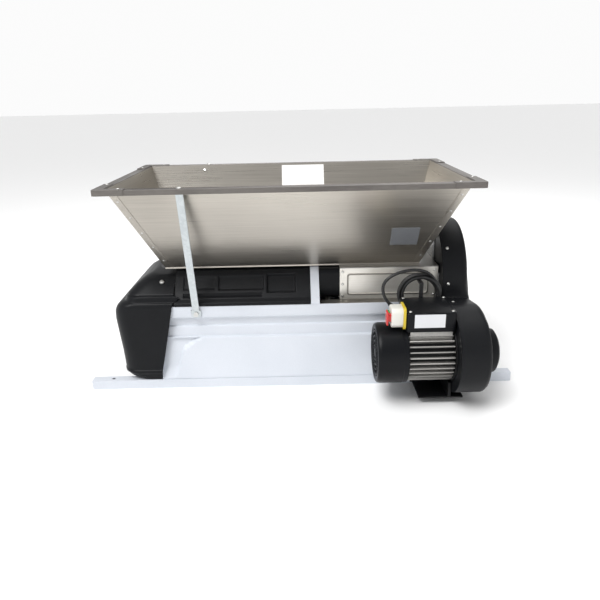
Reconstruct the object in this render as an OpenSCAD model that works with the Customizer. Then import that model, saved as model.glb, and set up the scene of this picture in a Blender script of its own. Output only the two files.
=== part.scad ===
// Electric grape crusher and destemmer: a hopper with a feed auger, two lobed crusher
// rollers, and a paddle beater that turns inside a perforated drum. Millimetres, +Z up.
// X runs along the machine, -Y is the motor side. Z = 0 is the underside of the rails.

/* [Rails] */
// Length of each carrying rail
rail_len = 1120; // [1000:10:1300]
// Side of the square rail tube
rail_size = 25; // [20:1:35]
// Wall of the rail tube
rail_wall = 2; // [1.5:0.5:3]
// Distance between the two rail centre lines
rail_gauge = 347; // [330:1:400]
// Radius of the rail fixing holes
rail_hole_r = 4.5; // [3:0.5:6]
// Distance between the fixing holes along a rail
rail_hole_pitch = 1010; // [900:10:1040]

/* [Trough] */
// Length of the trough between the outsides of its end plates
trough_len = 740; // [700:10:800]
// Thickness of the painted sheet
sheet = 2; // [1.5:0.5:3]
// Height of the trough's upper edge
trough_top = 222; // [210:1:224]
// Distance between the outsides of the two top flanges
trough_width = 320; // [300:2:324]
// Bore of the perforated drum
drum_r = 98; // [85:1:104]
// Radius of the drum's holes
drum_hole_r = 11; // [8:0.5:12]
// Height of the beater shaft
beater_z = 135; // [130:1:140]

/* [Hopper] */
// Length of the hopper over its rim
hopper_len = 900; // [860:10:1000]
// Depth of the hopper over its rim
hopper_depth = 500; // [440:10:560]
// Height of the rim above the floor
hopper_top = 540; // [500:5:600]
// Height of the lower edge of the walls
hopper_bottom = 308; // [308:1:320]
// Length of the hopper at its lower edge
throat_len = 678; // [640:1:690]
// Depth of the hopper at its lower edge
throat_depth = 174; // [160:1:190]
// Shift of the hopper's middle from the middle of the rails
hopper_shift = -17.5; // [-25:0.5:-15]
// Width of the rim flange
rim_flange = 24; // [16:1:30]
// Height of the folded rim lip
rim_lip = 12; // [8:1:16]

/* [Crusher] */
// Tooth module of the gears
gear_m = 4; // [4:0.5:4]
// Teeth of each of the two equal roller gears
sync_teeth = 18; // [18:1:19]
// Teeth of the pinion on the beater shaft
pinion_teeth = 17; // [16:1:18]
// Teeth of the large gear on the front roller shaft
wheel_teeth = 50; // [48:1:50]
// Mean radius of a crusher roller
roller_r = 33.5; // [30:0.5:34]
// Height of a roller lobe above and below the mean radius
lobe = 4; // [2:0.5:5]
// Radius of the roller shafts
roller_shaft_r = 9; // [8:0.5:11]

/* [Auger] */
// Height of the auger shaft
auger_z = 368; // [366:1:370]
// Outer radius of the auger flight
auger_r = 54; // [44:1:56]
// Radius of the auger shaft
auger_shaft_r = 11; // [9:0.5:13]
// Travel of the flight per turn
auger_pitch = 100; // [80:5:120]

/* [Beater] */
// Radius of the beater shaft
beater_shaft_r = 12.5; // [11:0.5:15]
// Radius swept by the paddles
paddle_r = 84; // [76:1:86]
// Number of paddles
paddle_count = 15; // [9:1:18]

/* [Motor] */
// Distance of the motor shaft in front of the beater shaft
motor_reach = 265; // [260:1:285]
// Height of the motor shaft
motor_z = 130; // [130:1:140]
// Radius of the fan cowl
cowl_r = 75; // [70:1:80]
// Radius of the finned stator over its fins
stator_r = 70; // [64:1:74]
// Radius of the motor shaft
motor_shaft_r = 9.5; // [8:0.5:12]
// Number of cooling fins round the stator
fin_count = 32; // [24:2:36]
// Radius of the motor pulley
motor_pulley_r = 28; // [25:1:32]
// Radius of the large pulley
large_pulley_r = 96; // [88:1:98]
// Travel of the stop and start buttons
button_travel = 4; // [3:0.5:5]

/* [Guard] */
// Radius of the guard's rounded top
guard_r = 150; // [146:1:152]
// Radius of the guard round the motor pulley
nose_r = 102; // [100:1:103]
// Wall of the moulded plastic covers
shell = 3; // [2.5:0.5:4]

/* [Mains lead] */
// Diameter of the mains lead
lead_d = 8; // [8:0.5:8]
// Middle radius of the coiled lead
coil_r = 48; // [44:1:52]

/* [Hidden] */
$fn = 48;

fit_gap = 0.05;           // radial running clearance of a shaft in its bush
rail_y = rail_gauge / 2;
side = trough_len / 2;    // outside faces of the end plates
half_top = trough_width / 2;
wall_foot = rail_y + rail_size / 2 - 2;   // outside of the wall at its foot
motor_y = -motor_reach;
front_reach = motor_y - nose_r;
shift_y = -(front_reach + hopper_depth / 2) / 2;   // centres the outline on the origin
gear_w = 10;

// heights and planes of the crusher
roller_half = gear_m * sync_teeth / 2;
gear_centres = gear_m * (pinion_teeth + wheel_teeth) / 2;
roller_z = beater_z + sqrt(pow(gear_centres, 2) - pow(roller_half, 2));
box_left = side - 263;
box_right = side - 4;
box_half = 112;
box_low = trough_top - 5;
box_top = hopper_bottom - 6;

// planes of the drive, counted outwards from the drive end plate
plate_t = 4;
chain_x = side + 5;
chain_w = 6;
sync_x = chain_x + chain_w + 3;
wheel_x = sync_x + gear_w + 3;
pulley_x = wheel_x + gear_w + 4;
pulley_w = 20;
guard_plate_t = 3;
guard_back = side + guard_plate_t;
guard_face = pulley_x + pulley_w + 10;
small_sprocket_r = 16;
large_sprocket_r = 26;

// motor planes
cowl_x = side - 188;
cowl_len = 74;
stator_x = cowl_x + cowl_len;
stator_len = 110;
shield_x = stator_x + stator_len;
box_x0 = cowl_x + 68;
box_x1 = side - 2;
box_y0 = motor_y - 45;
box_y1 = motor_y + 65;
box_z0 = motor_z + 70;
box_z1 = motor_z + 120;
switch_y = motor_y - 18;
switch_z = motor_z + 104;
switch_r = 27;

// hopper
rim_t = 2;
wall_t = 1.5;
lip_t = 2;
corner_t = 1.5;          // sheet of the folded corner plates

// ---------- shared shapes ----------

module bar_x(x0, x1, r) translate([x0, 0, 0]) rotate([0, 90, 0]) cylinder(h = x1 - x0, r = r);

module ring_x(x0, x1, r_out, r_in) translate([x0, 0, 0]) rotate([0, 90, 0])
    difference() {
        cylinder(h = x1 - x0, r = r_out);
        translate([0, 0, -1]) cylinder(h = x1 - x0 + 2, r = r_in);
    }

// extrudes a (y, z) outline along X
module along_x(x0, x1) translate([x0, 0, 0]) rotate([90, 0, 90]) linear_extrude(height = x1 - x0) children();

function arc(cx, cy, r, a0, a1, n) = [for (i = [0 : n]) let (a = a0 + (a1 - a0) * i / n)
    [cx + r * cos(a), cy + r * sin(a)]];

function rounded(x0, y0, x1, y1, r) = concat(
    arc(x1 - r, y1 - r, r, 0, 90, 6), arc(x0 + r, y1 - r, r, 90, 180, 6),
    arc(x0 + r, y0 + r, r, 180, 270, 6), arc(x1 - r, y0 + r, r, 270, 360, 6));

// an open loop of belt or chain round two wheels, as an outline at distance d outside radii ra and rb
function loop_outline(a, ra, b, rb, d) = let (
    v = b - a, c = norm(v), dir = atan2(v[1], v[0]), t = acos((ra - rb) / c))
    concat(arc(b[0], b[1], rb + d, dir - t, dir + t, 24),
        arc(a[0], a[1], ra + d, dir + t, dir + 360 - t, 24));

module loop_x(x0, x1, a, ra, b, rb, thick) along_x(x0, x1) difference() {
    polygon(loop_outline(a, ra, b, rb, thick));
    polygon(loop_outline(a, ra, b, rb, 0));
}

// involute spur gear
function roll(a) = tan(a) * 180 / PI - a;
function flank(rb, r, half) = let (a = acos(min(1, rb / r))) half - roll(a);
function tooth(z, m, play) = let (
    rp = z * m / 2, rb = rp * cos(20), ra = rp + m, rf = rp - 1.25 * m, low = max(rb, rf),
    half = 90 / z - play * 90 / (PI * rp) + roll(20))
    concat([[rf, -flank(rb, low, half) - 0.4]],
        [for (i = [0 : 4]) let (r = low + (ra - low) * i / 4) [r, -flank(rb, r, half)]],
        [for (i = [4 : -1 : 0]) let (r = low + (ra - low) * i / 4) [r, flank(rb, r, half)]],
        [[rf, flank(rb, low, half) + 0.4]]);
function gear_points(z, m, play) = [for (k = [0 : z - 1]) for (p = tooth(z, m, play))
    p[0] * [cos(k * 360 / z + p[1]), sin(k * 360 / z + p[1])]];

// a tooth stands at angle turn, measured from +Y towards +Z
module gear_x(x0, z, bore, turn) along_x(x0, x0 + gear_w) difference() {
    rotate(turn) polygon(gear_points(z, gear_m, 0.5));
    circle(r = bore);
}

// pan screw that stands on Z = 0 with its head upwards
module screw(r, h) {
    cylinder(h = h * 0.45, r = r);
    translate([0, 0, h * 0.45]) cylinder(h = h * 0.55, r1 = r, r2 = r * 0.6, $fn = 24);
}

// ---------- rails ----------

module rail(y) color("white") difference() {
    translate([-rail_len / 2, y - rail_size / 2, 0]) cube([rail_len, rail_size, rail_size]);
    translate([-rail_len / 2 - 1, y - rail_size / 2 + rail_wall, rail_wall])
        cube([rail_len + 2, rail_size - 2 * rail_wall, rail_size - 2 * rail_wall]);
    for (s = [-1, 1]) translate([s * rail_hole_pitch / 2, y, -1]) cylinder(h = rail_size + 2, r = rail_hole_r);
}

module rails() for (y = [-rail_y, rail_y]) rail(y);

module rail_end_plugs() color("gainsboro") for (s = [-1, 1]) for (y = [-rail_y, rail_y])
    translate([s * (rail_len / 2 - 9), y, rail_size / 2])
        cube([18, rail_size - 2 * rail_wall, rail_size - 2 * rail_wall], center = true);

// ---------- trough ----------

shelf_z = trough_top - 85;      // top of the lower, sloping part of the wall
bead_z = trough_top - 55;       // small step above the shelf
recess_z = trough_top - 32;     // lower edge of the top strip
// outside line of the front wall from its foot to its top flange, as (y, z), and the line of its inside
wall_line = [[-wall_foot + 22, rail_size], [-wall_foot, rail_size], [-half_top - 8, shelf_z],
    [-half_top + 3, shelf_z], [-half_top + 5, bead_z - 2], [-half_top + 10, bead_z],
    [-half_top + 10, recess_z], [-half_top, recess_z], [-half_top, trough_top]];
wall_in = [[-wall_foot + 22, rail_size + sheet], [-wall_foot + sheet, rail_size + sheet],
    [-half_top - 8 + sheet, shelf_z - sheet], [-half_top + 3 + sheet, shelf_z - sheet],
    [-half_top + 5 + sheet, bead_z - 2 - sheet], [-half_top + 10 + sheet, bead_z - sheet],
    [-half_top + 10 + sheet, recess_z + sheet], [-half_top + sheet, recess_z + sheet],
    [-half_top + sheet, trough_top]];

function backwards(list) = [for (i = [len(list) - 1 : -1 : 0]) list[i]];

module side_panel() color("white") along_x(-side + sheet, side - plate_t)
    polygon(concat(wall_line, backwards(wall_in)));

module front_side_panel() side_panel();
module rear_side_panel() mirror([0, 1, 0]) side_panel();

module end_outline() polygon([[-wall_foot, rail_size], [wall_foot, rail_size], [half_top + 4, shelf_z],
    [half_top, trough_top], [-half_top, trough_top], [-half_top - 4, shelf_z]]);

// the stems leave through the round opening
module stem_end_plate() color("white") along_x(-side, -side + sheet) difference() {
    end_outline();
    translate([0, beater_z]) circle(r = drum_r - 2);
    translate([-(drum_r - 2), beater_z]) square([2 * (drum_r - 2), trough_top - beater_z - 8]);
}

module drive_end_plate() color("gray") along_x(side - plate_t, side) difference() {
    union() {
        end_outline();
        translate([-box_half, trough_top - 1]) square([2 * box_half, roller_z + 20 - trough_top]);
        translate([-40, roller_z]) square([80, auger_z + 28 - roller_z]);
    }
    translate([0, beater_z]) circle(r = beater_shaft_r + 12);
    for (s = [-1, 1]) translate([s * roller_half, roller_z]) circle(r = roller_shaft_r + 4);
    translate([0, auger_z]) circle(r = auger_shaft_r + 4);
}

drum_t = 1.5;
drum_x0 = -side + sheet;
drum_x1 = side - plate_t;
drum_rows = 9;
drum_pitch = 40;
drum_columns = floor((drum_x1 - drum_x0 - 40) / drum_pitch);
module perforated_drum() color("silver") difference() {
    along_x(drum_x0, drum_x1) difference() {
        translate([0, beater_z]) circle(r = drum_r + drum_t);
        translate([0, beater_z]) circle(r = drum_r);
        translate([-drum_r - 10, beater_z + 6]) square([2 * drum_r + 20, drum_r + 20]);
    }
    for (k = [0 : drum_columns - 1]) for (j = [0 : drum_rows - 1])
        translate([drum_x0 + 20 + drum_pitch * (k + (j % 2 == 0 ? 0.25 : 0.75)), 0, beater_z])
            rotate([180 + (j - (drum_rows - 1) / 2) * 18, 0, 0])
                translate([0, 0, drum_r - 4]) cylinder(h = 10, r = drum_hole_r);
}

// ---------- black covers ----------

cover_flange = half_top + 1;
cover_top = hopper_bottom - 8;
// outer (y, z) outline of the long cover's front half, from its lip up to the ridge
cover_line = [[-cover_flange, trough_top], [-cover_flange, trough_top + 6], [-half_top + 12, trough_top + 16],
    [-half_top + 22, trough_top + 30], [-104, cover_top - 10], [-90, cover_top]];
function grown_in(list, t) = [for (p = list) [p[0] + t, p[1] - (p[1] > trough_top ? t : 0)]];
function mirrored(list) = [for (p = backwards(list)) [-p[0], p[1]]];

module cover_profile() difference() {
    polygon(concat(cover_line, mirrored(cover_line)));
    polygon(concat(grown_in(cover_line, shell), mirrored(grown_in(cover_line, shell))));
}

cover_x0 = -side + 42;
cover_x1 = box_left - 78;
module drum_top_cover() color("dimgray") along_x(cover_x0 + 1, cover_x1) cover_profile();

// The chute over the stem outlet: a collar round the trough's end and a rounded far end, open below.
chute_x0 = -side - 123;
chute_low = 27;
chute_gap = 0.4;
function chute_shoulder(d) = [-half_top + 16 - d * 0.6, trough_top + 34 + d * 0.4];
function chute_ridge(d) = [-98, cover_top - 14 + d];
function chute_section(d) = let (half = [[-wall_foot - d, chute_low - 30], [-wall_foot - d, rail_size],
    [-half_top - 8 - d, shelf_z], [-half_top - d, trough_top + 6], chute_shoulder(d), chute_ridge(d)])
    concat(half, mirrored(half));
module chute_end(t) hull() {
    along_x(-side - 6, -side - 4) polygon(chute_section(chute_gap + shell - t));
    for (s = [-1, 1]) {
        translate([chute_x0 + 46, s * (half_top - 38), trough_top - 44]) sphere(r = 46 - t, $fn = 32);
        translate([chute_x0 + 54, s * (half_top - 32), chute_low + 30]) sphere(r = 46 - t, $fn = 32);
        translate([chute_x0 + 84, s * 58, cover_top - 54]) sphere(r = 38 - t, $fn = 32);
    }
}
module stem_chute_cover() color("dimgray") {
    difference() {
        chute_end(0);
        chute_end(shell);
        translate([chute_x0 - 10, -300, -100]) cube([400, 600, 100 + chute_low]);
        translate([-side - 4.5, -300, -100]) cube([10, 600, 500]);
    }
    difference() {
        along_x(-side - 5, cover_x0) difference() {
            polygon(chute_section(chute_gap + shell));
            polygon(chute_section(chute_gap));
            translate([-300, -20]) square([600, chute_low + 20]);
        }
        // the free edge slants down to the trough's lower corner
        rotate([90, 0, 0]) translate([0, 0, -300]) linear_extrude(height = 600)
            polygon([[-side - 3, 0], [-side - 3, chute_low], [cover_x0 - 2, trough_top + 8],
                [cover_x0 - 2, cover_top + 40], [cover_x0 + 60, cover_top + 40], [cover_x0 + 60, 0]]);
    }
}

// ---------- crusher box ----------

module roller_box_inner_plate() color("silver") along_x(box_left, box_left + plate_t) difference() {
    translate([-box_half, box_low]) square([2 * box_half, box_top - box_low]);
    for (s = [-1, 1]) translate([s * roller_half, roller_z]) circle(r = roller_shaft_r + 4);
}

box_cover_t = 1.5;
box_cover_w = box_right - box_left;
box_cover_h = box_top - box_low;
module box_cover() translate([box_left, -box_half, box_low]) rotate([90, 0, 0]) {
    linear_extrude(height = box_cover_t) square([box_cover_w, box_cover_h]);
    linear_extrude(height = box_cover_t + 2.5) difference() {
        polygon(rounded(19, 11, box_cover_w - 24, box_cover_h - 14, 7));
        polygon(rounded(23, 15, box_cover_w - 28, box_cover_h - 18, 5));
    }
}
module box_ledge() along_x(box_left - 54, box_right) polygon([[-half_top + sheet + 0.5, trough_top - 18],
    [-box_half - 5, trough_top - 5], [-box_half - 2, trough_top - 5], [-box_half - 2, trough_top - 7.5],
    [-half_top + sheet + 0.5, trough_top - 21]]);
module roller_box_covers() color("silver") for (s = [0, 1]) mirror([0, s, 0]) {
    box_cover();
    box_ledge();
}

// plastic cap over the ends of the roller shafts
cap_low = trough_top - 2;
module roller_bearing_cover() color("dimgray") difference() {
    along_x(box_left - 54, box_left) translate([-box_half + 1, cap_low])
        polygon(rounded(0, 0, 2 * box_half - 2, box_top - cap_low - 1, 14));
    along_x(box_left - 54 + shell, box_left + 1) translate([-box_half + 1, cap_low])
        polygon(rounded(shell, shell, 2 * box_half - 2 - shell, box_top - cap_low - 1 - shell, 11));
}

// bushes of one roller; those on the drive side keep their collars inside the box
module roller_bushes(s) translate([0, s * roller_half, roller_z]) {
    ring_x(box_left - 8, box_left + plate_t, roller_shaft_r + 4, roller_shaft_r + fit_gap);
    ring_x(box_left - 4, box_left, roller_shaft_r + 9, roller_shaft_r + fit_gap);
    ring_x(side - plate_t - 8, side, roller_shaft_r + 4, roller_shaft_r + fit_gap);
    ring_x(side - plate_t - 4, side - plate_t, roller_shaft_r + 9, roller_shaft_r + fit_gap);
}

bar_x0 = -side - 12;
auger_seat = hopper_shift - throat_len / 2 - 42;
module shaft_bearings() color("slategray") {
    translate([0, 0, beater_z]) {
        ring_x(bar_x0 - 18, bar_x0, beater_shaft_r + 12, beater_shaft_r + fit_gap);
        ring_x(bar_x0 - 5, bar_x0, beater_shaft_r + 24, beater_shaft_r + fit_gap);
        ring_x(side - 24, side, beater_shaft_r + 12, beater_shaft_r + fit_gap);
        ring_x(side - plate_t - 5, side - plate_t, beater_shaft_r + 24, beater_shaft_r + fit_gap);
    }
    translate([0, 0, auger_z]) {
        ring_x(auger_seat, auger_seat + 34, auger_shaft_r + 6, auger_shaft_r + fit_gap);
        ring_x(side - 16, side, auger_shaft_r + 4, auger_shaft_r + fit_gap);
    }
    roller_bushes(-1);
    roller_bushes(1);
}

// bar across the stem outlet that carries the outer beater bearing
module bearing_crossbar() difference() {
    union() {
        translate([bar_x0, -half_top + 8, beater_z - 20]) cube([4, trough_width - 16, 40]);
        for (s = [-1, 1]) translate([bar_x0, s * (half_top - 12) - 4, beater_z - 20]) cube([12, 8, 40]);
    }
    translate([0, 0, beater_z]) bar_x(bar_x0 - 5, bar_x0 + 10, beater_shaft_r + 2);
}

// ---------- top of the trough and of the crusher box ----------

// painted cross pieces: the bar across the outlet and the strip beside the long cover
module trough_bridges() color("white") {
    bearing_crossbar();
    along_x(cover_x1 + 0.3, box_left - 55) cover_profile();
}

throat_x0 = box_left + 13;
throat_x1 = hopper_shift + throat_len / 2 - 10;
throat_half = 68;
module throat_cut() translate([throat_x0, -throat_half, box_top - 10])
    cube([throat_x1 - throat_x0, 2 * throat_half, 40]);

module roller_box_top() color("silver") difference() {
    translate([box_left, -box_half - box_cover_t, box_top])
        cube([box_right - box_left, 2 * (box_half + box_cover_t), 2]);
    throat_cut();
}

module hopper_floor_pan() color("silver") difference() {
    translate([hopper_shift - throat_len / 2, -throat_depth / 2, box_top + 2])
        cube([throat_len, throat_depth, hopper_bottom - box_top - 2]);
    translate([hopper_shift - throat_len / 2 + 2, -throat_depth / 2 + 2, box_top + 3.5])
        cube([throat_len - 4, throat_depth - 4, 20]);
    throat_cut();
}

// ---------- hopper ----------

rim_z = hopper_top - lip_t;          // upper face of the rim flange
wall_rise = rim_z - hopper_bottom;
half_low_y = throat_depth / 2;
half_top_y = hopper_depth / 2 - rim_flange;
half_low_x = throat_len / 2;
half_top_x = hopper_len / 2 - rim_flange;
seam = 2.6;

// sloping wall: half widths low and high, run of the slope, placed on the +Y side
module slope(low, high, reach, run) translate([0, reach, hopper_bottom]) rotate([atan2(wall_rise, run), 0, 0])
    linear_extrude(height = wall_t) let (l = norm([wall_rise, run]))
        polygon([[-low, 0], [low, 0], [high, l], [-high, l]]);

// flange and folded lip along the +Y side
module rim(reach, half) {
    flange = rim_flange - corner_t;
    translate([-half, reach - rim_t, rim_z - rim_t]) cube([2 * half, flange + rim_t, rim_t]);
    translate([-half, reach + flange - rim_t, rim_z - rim_lip]) cube([2 * half, rim_t, rim_lip]);
}

module long_wall() {
    slope(half_low_x, half_top_x, half_low_y, half_top_y - half_low_y);
    rim(half_top_y, hopper_len / 2 - corner_t);
}
module short_wall() {
    slope(half_low_y - seam, half_top_y - seam, half_low_x, half_top_x - half_low_x);
    rim(half_top_x, half_top_y - rim_t - 0.3);
}

module hopper_front_wall() color("silver") translate([hopper_shift, 0, 0]) mirror([0, 1, 0]) long_wall();
module hopper_rear_wall() color("silver") translate([hopper_shift, 0, 0]) long_wall();
module auger_hole(r) translate([0, 0, auger_z]) bar_x(-hopper_len, hopper_len, r);
module hopper_left_wall() color("silver") difference() {
    translate([hopper_shift, 0, 0]) rotate([0, 0, 90]) short_wall();
    auger_hole(auger_shaft_r + 6 + 0.1);
}
module hopper_right_wall() color("silver") difference() {
    translate([hopper_shift, 0, 0]) rotate([0, 0, -90]) short_wall();
    auger_hole(auger_shaft_r + 3);
}

// folded plates over the four rim corners, each held by two rivets
corner_x = 50;
corner_y = 100;
module corner_set() translate([hopper_shift, 0, 0]) for (sx = [0, 1]) for (sy = [0, 1]) mirror([sx, 0, 0])
    mirror([0, sy, 0])
    translate([hopper_len / 2, hopper_depth / 2, 0]) children();
function corner_outline(d) = [[-d, -corner_y - d], [-d, -7], [-2, -2], [-7, -d], [-corner_x - 24 - d, -d],
    [-corner_x - 24 - d, -rim_flange + 1], [-rim_flange + 1, -rim_flange + 1],
        [-rim_flange + 1, -corner_y - d]];
module hopper_corner_plates() color("gray") corner_set() {
    translate([0, 0, rim_z]) linear_extrude(height = lip_t) polygon(corner_outline(0));
    translate([-corner_t, -corner_y, rim_z - rim_lip]) cube([corner_t, corner_y - 7, rim_lip]);
    translate([-corner_x - 24, -corner_t, rim_z - rim_lip]) cube([corner_x + 17, corner_t, rim_lip]);
}
module hopper_rivets() {
    corner_set() {
        translate([-12, -corner_y + 14, rim_z + lip_t]) screw(3.5, 2);
        translate([-corner_x - 10, -12, rim_z + lip_t]) screw(3.5, 2);
    }
    // seam rivets on the front and rear walls
    translate([hopper_shift, 0, 0]) for (s = [0, 1]) mirror([0, s, 0]) translate([0, half_low_y, hopper_bottom])
        rotate([atan2(wall_rise, half_top_y - half_low_y), 0, 0])
            let (l = norm([wall_rise, half_top_y - half_low_y]))
            for (m = [-1, 1]) for (k = [0 : 4]) let (v = l * (0.1 + 0.19 * k))
                translate([m * (half_low_x + (half_top_x - half_low_x) * v / l - 10), v, 0])
                    rotate([180, 0, 0]) screw(3, 2);
    translate([-280, half_low_y, hopper_bottom]) rotate([atan2(wall_rise, half_top_y - half_low_y), 0, 0])
        translate([0, norm([wall_rise, half_top_y - half_low_y]) - 18, wall_t]) screw(5, 4);
}

strut_x = -270;
strut_w = 18;
strut_foot = half_top + 4;
strut_top_y = hopper_depth / 2 - 13;
strut_bolt_z = trough_top - 20;
strut_head = rim_z - rim_t;
module strut_profile() polygon([[-hopper_depth / 2 + 4, strut_head], [-hopper_depth / 2 + 23, strut_head],
    [-hopper_depth / 2 + 23, strut_head - 3], [-strut_top_y + 3, strut_head - 3],
        [-half_top - 1, trough_top - 8],
    [-half_top, trough_top - 12], [-half_top, trough_top - 30], [-strut_foot, trough_top - 30],
    [-strut_foot, trough_top - 10], [-strut_foot - 2, trough_top - 6], [-strut_top_y - 2, strut_head - 3],
    [-hopper_depth / 2 + 4, strut_head - 3]]);
module hopper_struts() color("silver") for (s = [0, 1]) mirror([0, s, 0]) difference() {
    union() {
        along_x(strut_x - strut_w / 2, strut_x + strut_w / 2) strut_profile();
        translate([strut_x - 12.5, -strut_foot, trough_top - 30 + 3]) cube([25, 4, 17]);
    }
    translate([strut_x, -strut_foot - 5, strut_bolt_z]) rotate([-90, 0, 0]) cylinder(h = 12, r = 4);
}
module strut_bolts() for (s = [0, 1]) mirror([0, s, 0]) {
    translate([strut_x, -strut_foot - 4, strut_bolt_z]) rotate([-90, 0, 0]) {
        cylinder(h = 4, r = 7, $fn = 6);
        translate([0, 0, 4]) cylinder(h = 4, r = 3.9);
    }
    translate([strut_x, -hopper_depth / 2 + 13.5, rim_z]) screw(6, 3.5);
}

module hopper_fasteners() color("silver") {
    hopper_rivets();
    strut_bolts();
}

// blank plates lying on the sloping walls
module wall_plate(x0, x1, z0, z1, t) translate([0, half_low_y, hopper_bottom])
    rotate([atan2(wall_rise, half_top_y - half_low_y), 0, 0])
        let (k = norm([wall_rise, half_top_y - half_low_y]) / wall_rise)
            translate([x0, (z0 - hopper_bottom) * k, t > 0 ? wall_t : t])
                cube([x1 - x0, (z1 - z0) * k, abs(t)]);
module blank_plates() color("lightgray") {
    mirror([0, 1, 0]) wall_plate(234, 304, 366, 417, -0.8);
    translate([box_x0 + 18, box_y0 - 2.5, box_z1 - 37]) cube([72, 1, 33]);
}
module hopper_sticker() color("white") wall_plate(-46, 81, 470, 532, 0.4);

// ---------- belt guard ----------

guard_mid = hopper_bottom - 53;       // height of the middle of the rounded top
shoulder_a = [-guard_r + 3, trough_top + 4];
shoulder_b = [motor_y + 19, motor_z + 113];
function guard_outline(d) = concat(
    arc(0, guard_mid, guard_r - d, -6, 191, 40),
    [shoulder_a + [d, -d], shoulder_b - [0, d], [motor_y + d, motor_z + 106 - d]],
    arc(motor_y, motor_z, nose_r - d, 92, 270, 40),
    [[-60, motor_z - nose_r + d]],
    arc(0, beater_z, beater_z - motor_z + nose_r - d, 275, 352, 20));

boss_r = 54;              // round boss in front of the motor pulley
boss_h = 30;
module guard_cover() color("dimgray") {
    along_x(guard_back, guard_face) difference() {
        polygon(guard_outline(0));
        polygon(guard_outline(shell));
    }
    along_x(guard_face, guard_face + shell) polygon(guard_outline(0));
    translate([guard_face + shell, motor_y, motor_z]) rotate([0, 90, 0]) {
        cylinder(h = 8, r1 = nose_r - 12, r2 = boss_r + 2);
        cylinder(h = boss_h, r = boss_r);
        translate([0, 0, boss_h]) cylinder(h = 4, r = boss_r - 8);
    }
}
module guard_back_plate() color("black") along_x(side, guard_back) difference() {
    polygon(guard_outline(0));
    translate([0, beater_z]) circle(r = beater_shaft_r + 3);
    for (s = [-1, 1]) translate([s * roller_half, roller_z]) circle(r = roller_shaft_r + 3);
    translate([0, auger_z]) circle(r = auger_shaft_r + 3);
    translate([motor_y, motor_z]) circle(r = motor_shaft_r + 3);
}
// ---------- motor ----------

module at_motor() translate([0, motor_y, motor_z]) children();

rotor_r = stator_r - 34;
pad_half = 39;
module motor_stator() color("gray") at_motor() difference() {
    union() {
        bar_x(stator_x, shield_x, stator_r - 12);
        for (i = [0 : fin_count - 1]) rotate([i * 360 / fin_count, 0, 0])
            translate([stator_x + 2, -1.4, stator_r - 16]) cube([stator_len - 4, 2.8, 16]);
        // flat pad under the terminal box
        translate([stator_x + 5, -pad_half, rotor_r + 8])
            cube([stator_len - 10, 2 * pad_half, box_z0 - 0.5 - motor_z - rotor_r - 8]);
    }
    bar_x(stator_x - 1, shield_x + 1, rotor_r + 0.6);
}

shield_len = side - shield_x;
module motor_end_shields() color("black") at_motor() {
    ring_x(shield_x, shield_x + shield_len, stator_r + 2, rotor_r);
    ring_x(shield_x, shield_x + shield_len, rotor_r, motor_shaft_r + fit_gap);
    ring_x(stator_x - 12, stator_x, stator_r - 1, motor_shaft_r + fit_gap);
}

module fan_cowl() color("dimgray") at_motor() difference() {
    union() {
        ring_x(cowl_x + 3, stator_x - 1, cowl_r, cowl_r - 2);
        ring_x(cowl_x, cowl_x + 4, cowl_r - 3, 0.01);
        ring_x(cowl_x + 3, cowl_x + 6, cowl_r, cowl_r - 6);
        ring_x(stator_x - 11, stator_x - 1, cowl_r, stator_r - 1);
    }
    for (r = [24, 38, 52]) for (i = [0 : 11]) rotate([i * 30 + r, 0, 0])
        translate([0, 0, r]) bar_x(cowl_x - 2, cowl_x + 8, 4.2);
}

module motor_bracket() color("black") {
    difference() {
        translate([side - 8, motor_y - 35, 18]) cube([7.5, 80, 42]);
        at_motor() bar_x(side - 20, side + 10, stator_r + 2.1);
    }
    translate([side - 80, motor_y - 35, 18]) cube([110, -rail_y - rail_size / 2 - motor_y + 35, 4]);
    translate([side - 80, -rail_y - rail_size / 2 - 4, 4]) cube([110, 4, 14]);
}

wall = 2.5;
lid_h = 38;                // skirt of the lid
lid_over = 1.5;            // how far the lid stands over the base
module terminal_box() color("dimgray") difference() {
    union() {
        translate([box_x0, box_y0, box_z0]) cube([box_x1 - box_x0, box_y1 - box_y0, box_z1 - box_z0 - lid_h]);
        translate([box_x0 - lid_over, box_y0 - lid_over, box_z1 - lid_h])
            cube([box_x1 - box_x0 + lid_over, box_y1 - box_y0 + 2 * lid_over, lid_h]);
    }
    translate([box_x0 + wall, box_y0 + wall, box_z0 - 1])
        cube([box_x1 - box_x0 - 2 * wall, box_y1 - box_y0 - 2 * wall, box_z1 - box_z0 - wall + 1]);
    at_motor() bar_x(box_x0 - 5, box_x1 + 5, stator_r + 2.3);
    at_motor() bar_x(box_x0 - 5, stator_x + 0.3, cowl_r + 0.4);
}

// ---------- screws of the covers ----------

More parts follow.
